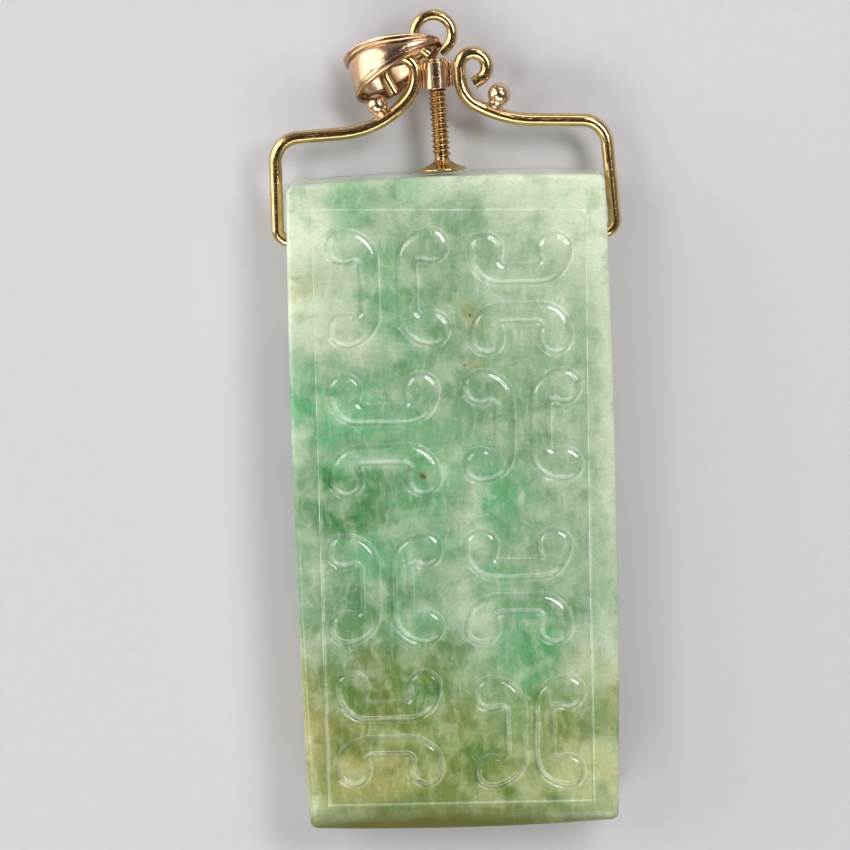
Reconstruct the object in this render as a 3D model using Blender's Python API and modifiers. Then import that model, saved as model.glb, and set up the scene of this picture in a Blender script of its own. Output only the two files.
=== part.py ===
"""Carved jade pendant held in a gold screw-clamp frame, lying on its back.

Metres, +Z up. The middle of the tablet's flat back is the origin, the carved face looks up, and +Y
runs along the tablet towards the ring. The clamp lies in the plane at half the tablet's thickness.
It stands a little askew: the pins stay level in their holes, and the collar has moved to -X.

Points of the clamp are given as (across, up) on the clamp's own middle line, before that lean.
"""

import math

import bmesh
import bpy
from mathutils import Matrix, Vector

MM = 0.001

# The jade tablet
TABLET_WIDTH = 24.68 * MM
TABLET_LENGTH = 50.65 * MM
TABLET_THICKNESS = 7.0 * MM
SIDE_BOW = 0.36 * MM
END_BOW = 0.34 * MM
END_SLANT = 0.1 * MM
CORNER_RADIUS = 0.55 * MM
EDGE_ROUNDING = 0.45 * MM
SIDE_POINTS = 6
CORNER_STEPS = 4

# The border line cut round the carving
BORDER_WIDTH = 20.6 * MM
BORDER_LENGTH = 46.14 * MM
BORDER_TURN = math.radians(-0.6)
BORDER_CENTRE = Vector((-0.08, -0.25)) * MM
BORDER_SLANT = 0.19 * MM
BORDER_CORNER = 0.35 * MM
LINE_WIDTH = 0.24 * MM
LINE_DEPTH = 0.12 * MM

# The carved scrolls: a fat C with a round lobe at each end, outlined by a slanting cut
SCROLL_WIDTH = 3.6 * MM
LOBE_RADIUS = 1.15 * MM
STEM_WIDTH = 1.2 * MM
BACK_ROUNDING = 2.3 * MM
NOTCH_FILLET = 0.5 * MM
CUT_WIDTH = 0.45 * MM
CUT_DEPTH = 0.3 * MM
SCROLL_STEP = math.radians(30)

# Pairs of scrolls, back to back, inside the border and in millimetres:
# whether the scrolls stand upright, the pair's middle, a scroll's length, and the middles' spacing
PAIRS = (
    (True, -4.7, 17.25, 8.6, 5.3),
    (False, 5.3, 16.65, 7.5, 5.3),
    (False, -5.25, 6.05, 8.2, 5.5),
    (True, 5.3, 6.55, 8.3, 5.1),
    (True, -5.4, -5.93, 8.3, 4.9),
    (False, 4.8, -5.93, 7.9, 5.1),
    (False, -5.4, -16.93, 7.9, 5.2),
    (True, 5.5, -17.42, 8.5, 4.6),
)

# The clamp: where its parts stand on its middle line, measured from the tablet's centre
CLAMP_HEIGHT = TABLET_THICKNESS / 2
CLAMP_LEAN = math.radians(2.1)
PIN_LEVEL = 20.51 * MM
FOOT_LEVEL = 25.42 * MM
COLLAR_LEVEL = 31.73 * MM
COLLAR_TOP = 33.78 * MM
RING_LEVEL = 35.85 * MM

# The arms, as bent wire from the cut end of the scroll to the end of the pin
WIRE_RADIUS = 0.5 * MM
WIRE_ROUNDNESS = 2
BEND_STEP = math.radians(20)
SCROLL_LEVEL = 33.15 * MM
THROAT_ACROSS = 1.76 * MM
SHOULDER_ACROSS = 12.62 * MM
LEG_SPLAY = math.radians(2.5)
SWEEP_RADIUS = 2.4 * MM
SWEEP_ANGLE = math.radians(58)
EASE_RADIUS = 9.0 * MM
SHOULDER_RADIUS = 1.9 * MM
ANKLE_RADIUS = 0.9 * MM
PIN_LENGTH = 0.9 * MM
PIN_HOLE_RADIUS = 0.62 * MM
PIN_HOLE_DEPTH = 1.3 * MM
# The two arms were bent by hand and differ: curl radius, curl angle, straight tail of the curl,
# straight throat below it, and the slope left in the run out to the shoulder
ARM_BENDS = {
    -1: (1.16 * MM, math.radians(206), 1.15 * MM, 1.1 * MM, math.radians(1.5)),
    1: (1.05 * MM, math.radians(240), 0.65 * MM, 0.8 * MM, math.radians(3.5)),
}

# The beads soldered on the arms
BEAD_RADIUS = 0.84 * MM
BEAD_ACROSS = 4.12 * MM
BEAD_SEAT_RADIUS = 0.36 * MM
BEAD_SEAT_FOOT = 0.4 * MM
BEAD_SEAT_HEIGHT = 0.1 * MM
BEAD_RINGS = 8
TOUCH_GAP = 0.02 * MM

# The collar and its lugs
COLLAR_RADIUS = 0.95 * MM
COLLAR_BORE = 0.75 * MM
COLLAR_CHAMFER = 0.06 * MM
LUG_RADIUS = 0.2 * MM
LUG_ACROSS = 1.03 * MM

# The clamp screw, its foot and its head
THREAD_RADIUS = 0.715 * MM
THREAD_DEPTH = 0.115 * MM
THREAD_PITCH = 0.4 * MM
THREAD_RINGS_PER_TURN = 4
SHANK_RADIUS = 0.68 * MM
SCREW_SIDES = 14
FOOT_RADIUS = 1.8 * MM
FOOT_FLAT_RADIUS = 0.8 * MM
FOOT_CROWN = 0.15 * MM
FOOT_RIM = 0.33 * MM
FLARE_HEIGHT = 0.95 * MM
FLARE_STEPS = 6
FLARE_POWER = 2.6
HEAD_RADIUS = 0.8 * MM
HEAD_TOP_RADIUS = 0.64 * MM
HEAD_STEP = 0.01 * MM
HEAD_SIDE = 0.14 * MM
HEAD_HEIGHT = 0.2 * MM

# The ring brazed on the screw's head
RING_WIRE_RADIUS = 0.42 * MM
RING_RADIUS = 1.42 * MM
RING_OPENING = math.radians(42)
RING_TAIL = 0.68 * MM

# The bail: a tapered band bent to a closed teardrop, hooked through the ring
BAIL_TIP = Vector((-0.4, 35.2)) * MM
BAIL_LENGTH = 6.75 * MM
BAIL_DEPTH = 4.0 * MM
BAIL_TAPER = 0.36
BAIL_NARROW = 0.45 * MM
BAIL_WIDE = 3.5 * MM
BAIL_FLARE = 1.8
BAIL_WALL = 0.3 * MM
BAIL_RIM_WIDTH = 0.42 * MM
BAIL_RIM_SHARE = 0.3
BAIL_RIM_RISE = 0.16 * MM
BAIL_RIM_FULL_WIDTH = 2.0 * MM
BAIL_HEADING = math.radians(204)
BAIL_ROLL = math.radians(30)
BAIL_PITCH = math.radians(10)
BAIL_STEPS = 30


def clear_scene():
    for old in list(bpy.data.objects):
        bpy.data.objects.remove(old)


def new_collection(name):
    made = bpy.data.collections.new(name)
    bpy.context.scene.collection.children.link(made)
    return made


def principled(name, colour, roughness, metallic):
    made = bpy.data.materials.new(name)
    made.use_nodes = True
    shader = made.node_tree.nodes["Principled BSDF"]
    shader.inputs["Base Color"].default_value = (*colour, 1)
    shader.inputs["Roughness"].default_value = roughness
    shader.inputs["Metallic"].default_value = metallic
    return made


def add_object(name, data, collection, finish=None):
    made = bpy.data.objects.new(name, data)
    collection.objects.link(made)
    if finish:
        data.materials.append(finish)
    return made


def hide_cutter(cutter):
    cutter.hide_render = True
    cutter.display_type = "WIRE"


def rod(name, radius, length, sides, collection):
    """A cylinder along Z, centred on its own origin."""
    bpy.ops.mesh.primitive_cylinder_add(vertices=sides, radius=radius, depth=length)
    made = bpy.context.object
    made.name = name
    for holder in made.users_collection:
        holder.objects.unlink(made)
    collection.objects.link(made)
    return made


def combine(target, other, operation):
    """Cut OTHER out of TARGET, or join it on."""
    boolean = target.modifiers.new(other.name, "BOOLEAN")
    boolean.operation = operation
    boolean.solver = "EXACT"
    boolean.object = other
    hide_cutter(other)


def poly_curve(name, paths, cyclic, collection):
    """A curve object of straight-sided splines, one for each path of 3-D points."""
    curve = bpy.data.curves.new(name, "CURVE")
    for path in paths:
        spline = curve.splines.new("POLY")
        spline.points.add(len(path) - 1)
        for point, place in zip(spline.points, path):
            point.co = (*place, 1)
        spline.use_cyclic_u = cyclic
    return add_object(name, curve, collection)


def meshed(source):
    """SOURCE, a curve object, as a mesh object of the same name with its caps welded on."""
    bpy.context.view_layer.update()
    evaluated = source.evaluated_get(bpy.context.evaluated_depsgraph_get())
    mesh = bpy.data.meshes.new_from_object(evaluated)
    work = bmesh.new()
    work.from_mesh(mesh)
    bmesh.ops.remove_doubles(work, verts=work.verts, dist=0.0001 * MM)
    bmesh.ops.recalc_face_normals(work, faces=work.faces)
    work.to_mesh(mesh)
    work.free()
    name = source.name
    collection = source.users_collection[0]
    place = source.matrix_world.copy()
    bpy.data.objects.remove(source)
    made = add_object(name, mesh, collection)
    made.matrix_world = place
    return made


def smooth(mesh):
    mesh.shade_smooth()
    mesh.set_sharp_from_angle(angle=math.radians(40))


def loft(name, rings, closed, collection, finish):
    """A skin over RINGS of equal counts: closed on itself, or capped at both ends."""
    work = bmesh.new()
    rows = [[work.verts.new(place) for place in ring] for ring in rings]
    count = len(rows[0])
    spans = list(zip(rows, rows[1:] + rows[:1])) if closed else list(zip(rows, rows[1:]))
    for lower, upper in spans:
        for i in range(count):
            j = (i + 1) % count
            work.faces.new((lower[i], lower[j], upper[j], upper[i]))
    if not closed:
        work.faces.new(list(reversed(rows[0])))
        work.faces.new(rows[-1])
    bmesh.ops.recalc_face_normals(work, faces=work.faces)
    mesh = bpy.data.meshes.new(name)
    work.to_mesh(mesh)
    work.free()
    smooth(mesh)
    return add_object(name, mesh, collection, finish)


# ---------------------------------------------------------------- tablet


def slab_outline():
    """Plan of the tablet: four bowed sides and round corners, anticlockwise.

    The end under the clamp screw is cut END_SLANT askew, higher at +X.
    """
    half_width = TABLET_WIDTH / 2
    half_length = TABLET_LENGTH / 2
    corner_x = half_width - SIDE_BOW - CORNER_RADIUS
    corner_y = half_length - END_BOW - CORNER_RADIUS
    quarter = []
    for i in range(SIDE_POINTS):
        y = corner_y * i / SIDE_POINTS
        quarter.append((half_width - SIDE_BOW * (y / half_length) ** 2, y))
    for i in range(CORNER_STEPS + 1):
        angle = math.pi / 2 * i / CORNER_STEPS
        quarter.append(
            (corner_x + CORNER_RADIUS * math.cos(angle), corner_y + CORNER_RADIUS * math.sin(angle))
        )
    for i in range(SIDE_POINTS, 0, -1):
        x = corner_x * (i - 1) / SIDE_POINTS
        quarter.append((x, half_length - END_BOW * (x / half_width) ** 2))
    left = [(-x, y) for x, y in reversed(quarter[:-1])]
    upper = quarter + left
    lower = [(x, -y) for x, y in reversed(upper[1:-1])]
    slant = [(x, y + END_SLANT * x / half_width if y >= corner_y else y) for x, y in upper]
    return slant + lower


def border_place(x, y):
    """A point of the bordered panel on the tablet's face."""
    turned = Matrix.Rotation(BORDER_TURN, 2) @ Vector((x, y)) + BORDER_CENTRE
    return (turned.x, turned.y, 0)


def border_outline():
    half_width = BORDER_WIDTH / 2 - BORDER_CORNER
    half_length = BORDER_LENGTH / 2 - BORDER_CORNER
    points = []
    for index, (side, end) in enumerate(((1, 1), (-1, 1), (-1, -1), (1, -1))):
        for step in range(3):
            angle = math.pi / 2 * (index + step / 2)
            x = side * half_width + BORDER_CORNER * math.cos(angle)
            y = end * half_length + BORDER_CORNER * math.sin(angle)
            y -= BORDER_SLANT * side * (end > 0)
            points.append(border_place(x, y))
    return points


def arc(centre, radius_x, radius_y, start, end):
    """Points of an elliptical arc, both ends included, about one SCROLL_STEP apart."""
    steps = max(1, round(abs(end - start) / SCROLL_STEP))
    angles = [start + (end - start) * i / steps for i in range(steps + 1)]
    return [(centre[0] + radius_x * math.cos(a), centre[1] + radius_y * math.sin(a)) for a in angles]


def scroll_outline(length):
    """A C open to +X, its back on X = 0 and its middle at Y = 0, clockwise."""
    lobe_x = SCROLL_WIDTH - LOBE_RADIUS
    lobe_y = length / 2 - LOBE_RADIUS
    fillet_x = STEM_WIDTH + NOTCH_FILLET
    reach = LOBE_RADIUS + NOTCH_FILLET
    fillet_y = lobe_y - math.sqrt(reach**2 - (fillet_x - lobe_x) ** 2)
    meeting = math.atan2(fillet_y - lobe_y, fillet_x - lobe_x)
    back_y = length / 2 - BACK_ROUNDING
    half = arc((lobe_x, back_y), lobe_x, BACK_ROUNDING, math.pi, math.pi / 2)
    half += arc((lobe_x, lobe_y), LOBE_RADIUS, LOBE_RADIUS, math.pi / 2, meeting)[1:]
    half += arc((fillet_x, fillet_y), NOTCH_FILLET, NOTCH_FILLET, meeting + math.pi, math.pi)[1:]
    return half + [(x, -y) for x, y in reversed(half)]


def pair_outlines(upright, x, y, length, spacing):
    """The outlines of two scrolls back to back, on the tablet's face."""
    outlines = []
    for side in (1, -1):
        points = []
        for across, along in scroll_outline(length * MM):
            across = side * (across - SCROLL_WIDTH / 2 + spacing / 2 * MM)
            along = side * along
            place = (across, along) if upright else (-along, across)
            points.append(border_place(x * MM + place[0], y * MM + place[1]))
        outlines.append(points)
    return outlines


def groove_cutter(name, outlines, section, collection):
    """A closed band of the given (outwards, up) section run round each outline."""
    profile = poly_curve(name + "_section", [[(x, y, 0) for x, y in section]], True, collection)
    profile.data.dimensions = "2D"
    profile.data.fill_mode = "NONE"
    hide_cutter(profile)
    rail = poly_curve(name, outlines, True, collection)
    rail.data.dimensions = "2D"
    rail.data.fill_mode = "NONE"
    rail.data.bevel_mode = "OBJECT"
    rail.data.bevel_object = profile
    rail.location.z = TABLET_THICKNESS
    cutter = meshed(rail)
    bpy.data.objects.remove(profile)
    return cutter


def jade_tablet(parts, cutters, jade):
    """The slab, its edges rounded, with the carving, the border line and the two pin holes cut."""
    faces = [[(x, y, height) for x, y in slab_outline()] for height in (0, TABLET_THICKNESS)]
    slab = loft("jade_tablet", faces, False, parts, jade)
    slab.data.shade_flat()
    rounding = slab.modifiers.new("rounded_edges", "BEVEL")
    rounding.width = EDGE_ROUNDING
    rounding.segments = 4
    rounding.limit_method = "ANGLE"
    rounding.angle_limit = math.radians(60)

    outlines = [outline for pair in PAIRS for outline in pair_outlines(*pair)]
    rise = CUT_DEPTH * 2 / 3
    slant = ((0, rise), (0, -CUT_DEPTH), (CUT_WIDTH * (1 + rise / CUT_DEPTH), rise))
    combine(slab, groove_cutter("scroll_cuts", outlines, slant, cutters), "DIFFERENCE")
    notch = ((-LINE_WIDTH, LINE_DEPTH), (0, -LINE_DEPTH), (LINE_WIDTH, LINE_DEPTH))
    combine(slab, groove_cutter("border_cut", [border_outline()], notch, cutters), "DIFFERENCE")
    for side in (-1, 1):
        half_width = TABLET_WIDTH / 2 - SIDE_BOW * (PIN_LEVEL / (TABLET_LENGTH / 2)) ** 2
        name = "pin_hole_" + ("left" if side < 0 else "right")
        hole = rod(name, PIN_HOLE_RADIUS, 2 * PIN_HOLE_DEPTH, 16, cutters)
        hole.location = (side * half_width, PIN_LEVEL, CLAMP_HEIGHT)
        hole.rotation_euler = (0, math.pi / 2, 0)
        combine(slab, hole, "DIFFERENCE")


# ---------------------------------------------------------------- clamp


def leaned(across, up):
    """World place of a point that goes with the collar, which has turned about the pins' middle."""
    turned = Matrix.Rotation(CLAMP_LEAN, 2) @ Vector((across, up - PIN_LEVEL))
    return Vector((turned.x, turned.y + PIN_LEVEL, CLAMP_HEIGHT))


def racked(across, up):
    """World place of a point of an arm: square at the pins, leaning with the collar at its height."""
    share = (up - PIN_LEVEL) / (COLLAR_LEVEL - PIN_LEVEL)
    lean = math.tan(CLAMP_LEAN)
    return Vector((across - lean * (up - PIN_LEVEL), up + lean * share * across, CLAMP_HEIGHT))


def bent_path(start, heading, steps):
    """(place, heading) along a wire: each step is a length, or a radius and an angle, + to the left."""
    place = Vector(start)
    path = [(place.copy(), heading)]
    for step in steps:
        if not isinstance(step, tuple):
            place = place + Vector((math.cos(heading), math.sin(heading))) * step
            path.append((place.copy(), heading))
            continue
        radius, angle = step
        side = math.copysign(1, angle)
        centre = place + Vector((-math.sin(heading), math.cos(heading))) * radius * side
        count = max(2, round(abs(angle) / BEND_STEP))
        for _ in range(count):
            place = centre + Matrix.Rotation(angle / count, 2) @ (place - centre)
            heading += angle / count
            path.append((place.copy(), heading))
    return path


def arm_path(side):
    """An arm's middle line as on the right, from the scroll's cut end to the pin's end."""
    curl_radius, curl_angle, tail, throat, slope = ARM_BENDS[side]
    centre = Vector((THROAT_ACROSS + curl_radius, SCROLL_LEVEL))
    begin = centre - Vector((curl_radius, 0))
    begin = centre + Matrix.Rotation(-curl_angle, 2) @ (begin - centre)
    heading = 1.5 * math.pi - curl_angle
    start = begin - Vector((math.cos(heading), math.sin(heading))) * tail
    curl = (tail, (curl_radius, curl_angle), throat)
    ease = (EASE_RADIUS, math.pi / 2 - SWEEP_ANGLE - slope)
    upper = (*curl, (SWEEP_RADIUS, SWEEP_ANGLE), ease)
    eased = bent_path(start, heading, upper)[-1][0]
    shoulder = (SHOULDER_RADIUS, slope + LEG_SPLAY - math.pi / 2)
    shoulder_reach = SHOULDER_RADIUS * (math.cos(LEG_SPLAY) - math.sin(slope))
    run = (SHOULDER_ACROSS - shoulder_reach - eased.x) / math.cos(slope)
    above = bent_path(start, heading, (*upper, run, shoulder))[-1][0]
    ankle_drop = ANKLE_RADIUS * (1 + math.sin(LEG_SPLAY))
    leg = (above.y - ankle_drop - PIN_LEVEL) / math.cos(LEG_SPLAY)
    ankle = (ANKLE_RADIUS, -math.pi / 2 - LEG_SPLAY)
    return bent_path(start, heading, (*upper, run, shoulder, leg, ankle, PIN_LENGTH))


def wire(name, path, radius, collection, finish):
    made = poly_curve(name, [path], False, collection)
    made.data.dimensions = "3D"
    made.data.bevel_depth = radius
    made.data.bevel_resolution = WIRE_ROUNDNESS
    made.data.use_fill_caps = True
    made = meshed(made)
    made.data.materials.append(finish)
    smooth(made.data)
    return made


def turned_piece(name, profile, collection, finish, sides=16):
    """A solid of revolution about Z from a (radius, height) profile, given top to bottom."""
    mesh = bpy.data.meshes.new(name)
    edges = [(i, i + 1) for i in range(len(profile) - 1)]
    mesh.from_pydata([(radius, 0, height) for radius, height in profile], edges, [])
    made = add_object(name, mesh, collection, finish)
    screw = made.modifiers.new("turned", "SCREW")
    screw.steps = sides
    screw.render_steps = sides
    screw.use_merge_vertices = True
    screw.merge_threshold = 0.001 * MM
    return made


def bead(side, name, collection, finish):
    """A ball on the outer side of the arm, with a short seat of solder under it."""
    path = arm_path(side)
    throat = min(range(len(path)), key=lambda i: path[i][0].x)
    outwards = [place for place, _ in path[throat:]]
    index = max(i for i, place in enumerate(outwards) if place.x < BEAD_ACROSS)
    before, after = outwards[index : index + 2]
    foot = before.lerp(after, (BEAD_ACROSS - before.x) / (after.x - before.x))
    along = (after - before).normalized()
    away = Vector((-along.y, along.x))
    foot += away * (WIRE_RADIUS + TOUCH_GAP)
    middle = BEAD_SEAT_HEIGHT + math.sqrt(BEAD_RADIUS**2 - BEAD_SEAT_RADIUS**2)
    lowest = math.asin(BEAD_SEAT_RADIUS / BEAD_RADIUS)
    profile = []
    for i in range(BEAD_RINGS + 1):
        angle = (math.pi - lowest) * i / BEAD_RINGS
        profile.append((BEAD_RADIUS * math.sin(angle), middle + BEAD_RADIUS * math.cos(angle)))
    profile += [(BEAD_SEAT_FOOT, 0), (0, 0)]
    made = turned_piece(name, profile, collection, finish)
    base = racked(side * foot.x, foot.y)
    top = racked(side * (foot.x + away.x * BEAD_RADIUS), foot.y + away.y * BEAD_RADIUS)
    made.location = base
    made.rotation_mode = "QUATERNION"
    made.rotation_quaternion = (top - base).to_track_quat("Z", "X")


def place_on_axis(made, up):
    """Stand a piece modelled along Z on the clamp's middle line, its Z = 0 at UP."""
    made.location = leaned(0, up)
    made.rotation_mode = "QUATERNION"
    made.rotation_quaternion = (leaned(0, up + MM) - leaned(0, up)).to_track_quat("Z", "X")


def collar(parts, cutters, gold):
    """The tube the screw passes through, with a lug on each side for an arm."""
    height = COLLAR_TOP - COLLAR_LEVEL
    profile = (
        (COLLAR_BORE, height),
        (COLLAR_RADIUS - COLLAR_CHAMFER, height),
        (COLLAR_RADIUS, height - COLLAR_CHAMFER),
        (COLLAR_RADIUS, COLLAR_CHAMFER),
        (COLLAR_RADIUS - COLLAR_CHAMFER, 0),
        (COLLAR_BORE, 0),
        (COLLAR_BORE, height),
    )
    tube = turned_piece("collar", profile, parts, gold, sides=24)
    place_on_axis(tube, COLLAR_LEVEL)
    for side in (-1, 1):
        name = "lug_" + ("left" if side < 0 else "right")
        lug = rod(name, LUG_RADIUS, height - 2 * COLLAR_CHAMFER, 10, cutters)
        place_on_axis(lug, (COLLAR_LEVEL + COLLAR_TOP) / 2)
        lug.location = leaned(side * LUG_ACROSS, (COLLAR_LEVEL + COLLAR_TOP) / 2)
        combine(tube, lug, "UNION")


def screw_radius(rise, angle):
    """Radius of the screw at RISE above the foot's underside: the flare, then the thread."""
    if rise < FOOT_RIM + FLARE_HEIGHT:
        share = 1 - (rise - FOOT_RIM) / FLARE_HEIGHT
        return THREAD_RADIUS + (FOOT_RADIUS - THREAD_RADIUS) * share**FLARE_POWER
    turn = (rise / THREAD_PITCH - angle / (2 * math.pi)) % 1
    return THREAD_RADIUS - THREAD_DEPTH * abs(2 * turn - 1)


def clamp_screw(parts, gold):
    """Foot disc, flare, thread, plain shank inside the collar and the head that carries the ring."""
    collar_base = COLLAR_LEVEL - FOOT_LEVEL
    head_base = COLLAR_TOP + TOUCH_GAP - FOOT_LEVEL
    flare_top = FOOT_RIM + FLARE_HEIGHT
    thread_rings = round((collar_base - flare_top) / THREAD_PITCH * THREAD_RINGS_PER_TURN)
    angles = [2 * math.pi * i / SCREW_SIDES for i in range(SCREW_SIDES)]

    def ring(rise, radius=None):
        points = []
        for angle in angles:
            reach = radius or screw_radius(rise, angle)
            points.append((reach * math.cos(angle), reach * math.sin(angle), rise))
        return points

    rings = [
        ring(0, FOOT_FLAT_RADIUS),
        ring(FOOT_CROWN, FOOT_RADIUS - FOOT_CROWN),
        ring(FOOT_RIM / 2, FOOT_RADIUS),
    ]
    for i in range(FLARE_STEPS):
        rings.append(ring(FOOT_RIM + FLARE_HEIGHT * i / FLARE_STEPS))
    for i in range(thread_rings):
        rings.append(ring(flare_top + (collar_base - flare_top) * i / thread_rings))
    rings += [
        ring(collar_base, SHANK_RADIUS),
        ring(head_base, SHANK_RADIUS),
        ring(head_base + HEAD_STEP, HEAD_RADIUS),
        ring(head_base + HEAD_SIDE, HEAD_RADIUS),
        ring(head_base + HEAD_HEIGHT, HEAD_TOP_RADIUS),
    ]
    screw = loft("clamp_screw", rings, False, parts, gold)
    place_on_axis(screw, FOOT_LEVEL)


def ring_path():
    """The eye's middle line: a circle open at the bottom, with two short tails down to the head."""
    centre = Vector((0, RING_LEVEL))
    begin = centre + Vector((math.sin(RING_OPENING), -math.cos(RING_OPENING))) * RING_RADIUS
    heading = RING_OPENING
    start = begin - Vector((math.cos(heading), math.sin(heading))) * RING_TAIL
    steps = (RING_TAIL, (RING_RADIUS, 2 * math.pi - 2 * RING_OPENING), RING_TAIL)
    return bent_path(start, heading, steps)


def bail(parts, gold):
    """A band of varying width round a teardrop, with a raised rim along both edges."""

    def line(angle):
        share = (1 - math.cos(angle)) / 2
        half = math.sin(angle) * math.sin(angle / 2) ** BAIL_TAPER
        return Vector((BAIL_LENGTH * share, BAIL_DEPTH / 2 * half))

    step = 2 * math.pi / BAIL_STEPS
    rings = []
    for i in range(BAIL_STEPS):
        angle = step * (i + 0.5)
        here = line(angle)
        along = (line(angle + step / 2) - line(angle - step / 2)).normalized()
        outward = Vector((-along.y, along.x))
        share = here.x / BAIL_LENGTH
        width = BAIL_NARROW + (BAIL_WIDE - BAIL_NARROW) * (1 - (1 - share) ** BAIL_FLARE)
        rim = min(BAIL_RIM_WIDTH, BAIL_RIM_SHARE * width)
        crest = BAIL_WALL + BAIL_RIM_RISE * min(1, width / BAIL_RIM_FULL_WIDTH)
        section = (
            (-width / 2, 0),
            (width / 2, 0),
            (width / 2, crest),
            (width / 2 - rim, crest),
            (width / 2 - rim, BAIL_WALL),
            (rim - width / 2, BAIL_WALL),
            (rim - width / 2, crest),
            (-width / 2, crest),
        )
        points = []
        for across, thick in section:
            flat = here + outward * thick
            points.append((flat.x, across, flat.y))
        rings.append(points)
    made = loft("bail", rings, True, parts, gold)
    turn = (
        Matrix.Rotation(BAIL_HEADING, 4, "Z")
        @ Matrix.Rotation(BAIL_PITCH, 4, "Y")
        @ Matrix.Rotation(BAIL_ROLL, 4, "X")
    )
    made.matrix_world = Matrix.Translation((*BAIL_TIP, CLAMP_HEIGHT)) @ turn


def main():
    clear_scene()
    parts = new_collection("jade_pendant")
    cutters = new_collection("cutters")
    jade = principled("jade", (0.36, 0.52, 0.34), 0.2, 0)
    yellow_gold = principled("yellow_gold", (0.83, 0.62, 0.28), 0.2, 1)
    rose_gold = principled("rose_gold", (0.8, 0.54, 0.36), 0.2, 1)

    jade_tablet(parts, cutters, jade)
    for side, name in ((-1, "left"), (1, "right")):
        path = [racked(side * place.x, place.y) for place, _ in arm_path(side)]
        wire(name + "_arm", path, WIRE_RADIUS, parts, yellow_gold)
        bead(side, name + "_bead", parts, rose_gold)
    collar(parts, cutters, rose_gold)
    clamp_screw(parts, yellow_gold)
    ring = [leaned(place.x, place.y) for place, _ in ring_path()]
    wire("ring", ring, RING_WIRE_RADIUS, parts, yellow_gold)
    bail(parts, rose_gold)


main()
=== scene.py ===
"""Finished surfaces, stage, light and camera for a carved jade pendant in a gold clamp frame.

Metres, +Z up. The pendant lies on its back: the carved face looks up, +Y runs towards the clamp's
ring, and the origin is the middle of the tablet's flat back. Points of the clamp are given as
(across, up) on its own middle line, before its lean.
"""

import math
from collections import namedtuple

import bpy
import numpy as np
from mathutils import Matrix, Vector, noise


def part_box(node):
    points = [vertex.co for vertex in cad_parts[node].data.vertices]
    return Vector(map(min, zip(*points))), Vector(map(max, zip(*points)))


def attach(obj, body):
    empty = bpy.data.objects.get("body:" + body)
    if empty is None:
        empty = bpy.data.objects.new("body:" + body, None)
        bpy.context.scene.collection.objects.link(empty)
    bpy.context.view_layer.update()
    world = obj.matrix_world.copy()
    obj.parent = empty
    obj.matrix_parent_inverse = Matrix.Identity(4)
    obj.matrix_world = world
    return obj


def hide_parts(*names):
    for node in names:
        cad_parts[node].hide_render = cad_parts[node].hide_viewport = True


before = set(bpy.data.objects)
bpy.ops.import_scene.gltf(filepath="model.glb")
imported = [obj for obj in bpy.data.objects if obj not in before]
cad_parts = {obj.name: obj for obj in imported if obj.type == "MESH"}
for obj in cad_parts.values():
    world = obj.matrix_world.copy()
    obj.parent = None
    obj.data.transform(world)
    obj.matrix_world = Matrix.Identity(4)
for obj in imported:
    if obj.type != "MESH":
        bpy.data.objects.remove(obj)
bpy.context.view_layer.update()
TABLET_LOW, TABLET_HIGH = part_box("jade_tablet")

bl_info = {
    "name": "Jade pendant",
    "version": (1, 0, 0),
    "blender": (4, 5, 0),
    "location": "3D View > Sidebar > Pendant",
    "description": "Carved jade tablet in a gold screw-clamp frame, with its stage and light",
    "category": "Object",
}

MM = 0.001
FULL_TURN = 2 * math.pi

# The tablet's plan; its end under the clamp screw is cut a little askew
TABLET_HALF = Vector((12.34, 25.325)) * MM
SIDE_BOW = 0.36 * MM
END_BOW = 0.34 * MM
END_SLANT = 0.1 * MM
CORNER_RADIUS = 0.55 * MM
BORDER_WIDTH = 20.6 * MM
BORDER_LENGTH = 46.14 * MM
BORDER_TURN = math.radians(-0.6)
BORDER_CENTRE = Vector((-0.08, -0.25)) * MM
BORDER_SLANT = 0.19 * MM
MARGIN_FALL = 0.06 * MM
LOWER_ROLL = 1.4 * MM
LOWER_ROLL_FALL = 0.34 * MM

# The carved scrolls: a fat C with a round lobe at each end
SCROLL_WIDTH = 3.6 * MM
LOBE_RADIUS = 1.15 * MM
STEM_WIDTH = 1.2 * MM
BACK_ROUNDING = 2.3 * MM
NOTCH_FILLET = 0.5 * MM
SCROLL_STEP = math.radians(9)
REFINED_BAND = 0.5 * MM
REFINED_CUTS = 3
ON_FACE = 0.0001 * MM
HAND_SEED = 1
SCROLL_REACH = 3 * MM

# Pairs of scrolls, back to back, inside the border and in millimetres:
# whether the scrolls stand upright, the pair's middle, a scroll's length, and the middles' spacing
PAIRS = (
    (True, -4.7, 17.25, 8.6, 5.3),
    (False, 5.3, 16.65, 7.5, 5.3),
    (False, -5.25, 6.05, 8.2, 5.5),
    (True, 5.3, 6.55, 8.3, 5.1),
    (True, -5.4, -5.93, 8.3, 4.9),
    (False, 4.8, -5.93, 7.9, 5.1),
    (False, -5.4, -16.93, 7.9, 5.2),
    (True, 5.5, -17.42, 8.5, 4.6),
)

# The clamp's places on its middle line
CLAMP_HEIGHT = (TABLET_LOW.z + TABLET_HIGH.z) / 2
CLAMP_LEAN = math.radians(2.1)
PIN_LEVEL = 20.51 * MM
FOOT_LEVEL = 25.42 * MM
COLLAR_LEVEL = 31.73 * MM
COLLAR_TOP = 33.78 * MM
RING_LEVEL = 35.85 * MM

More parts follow.
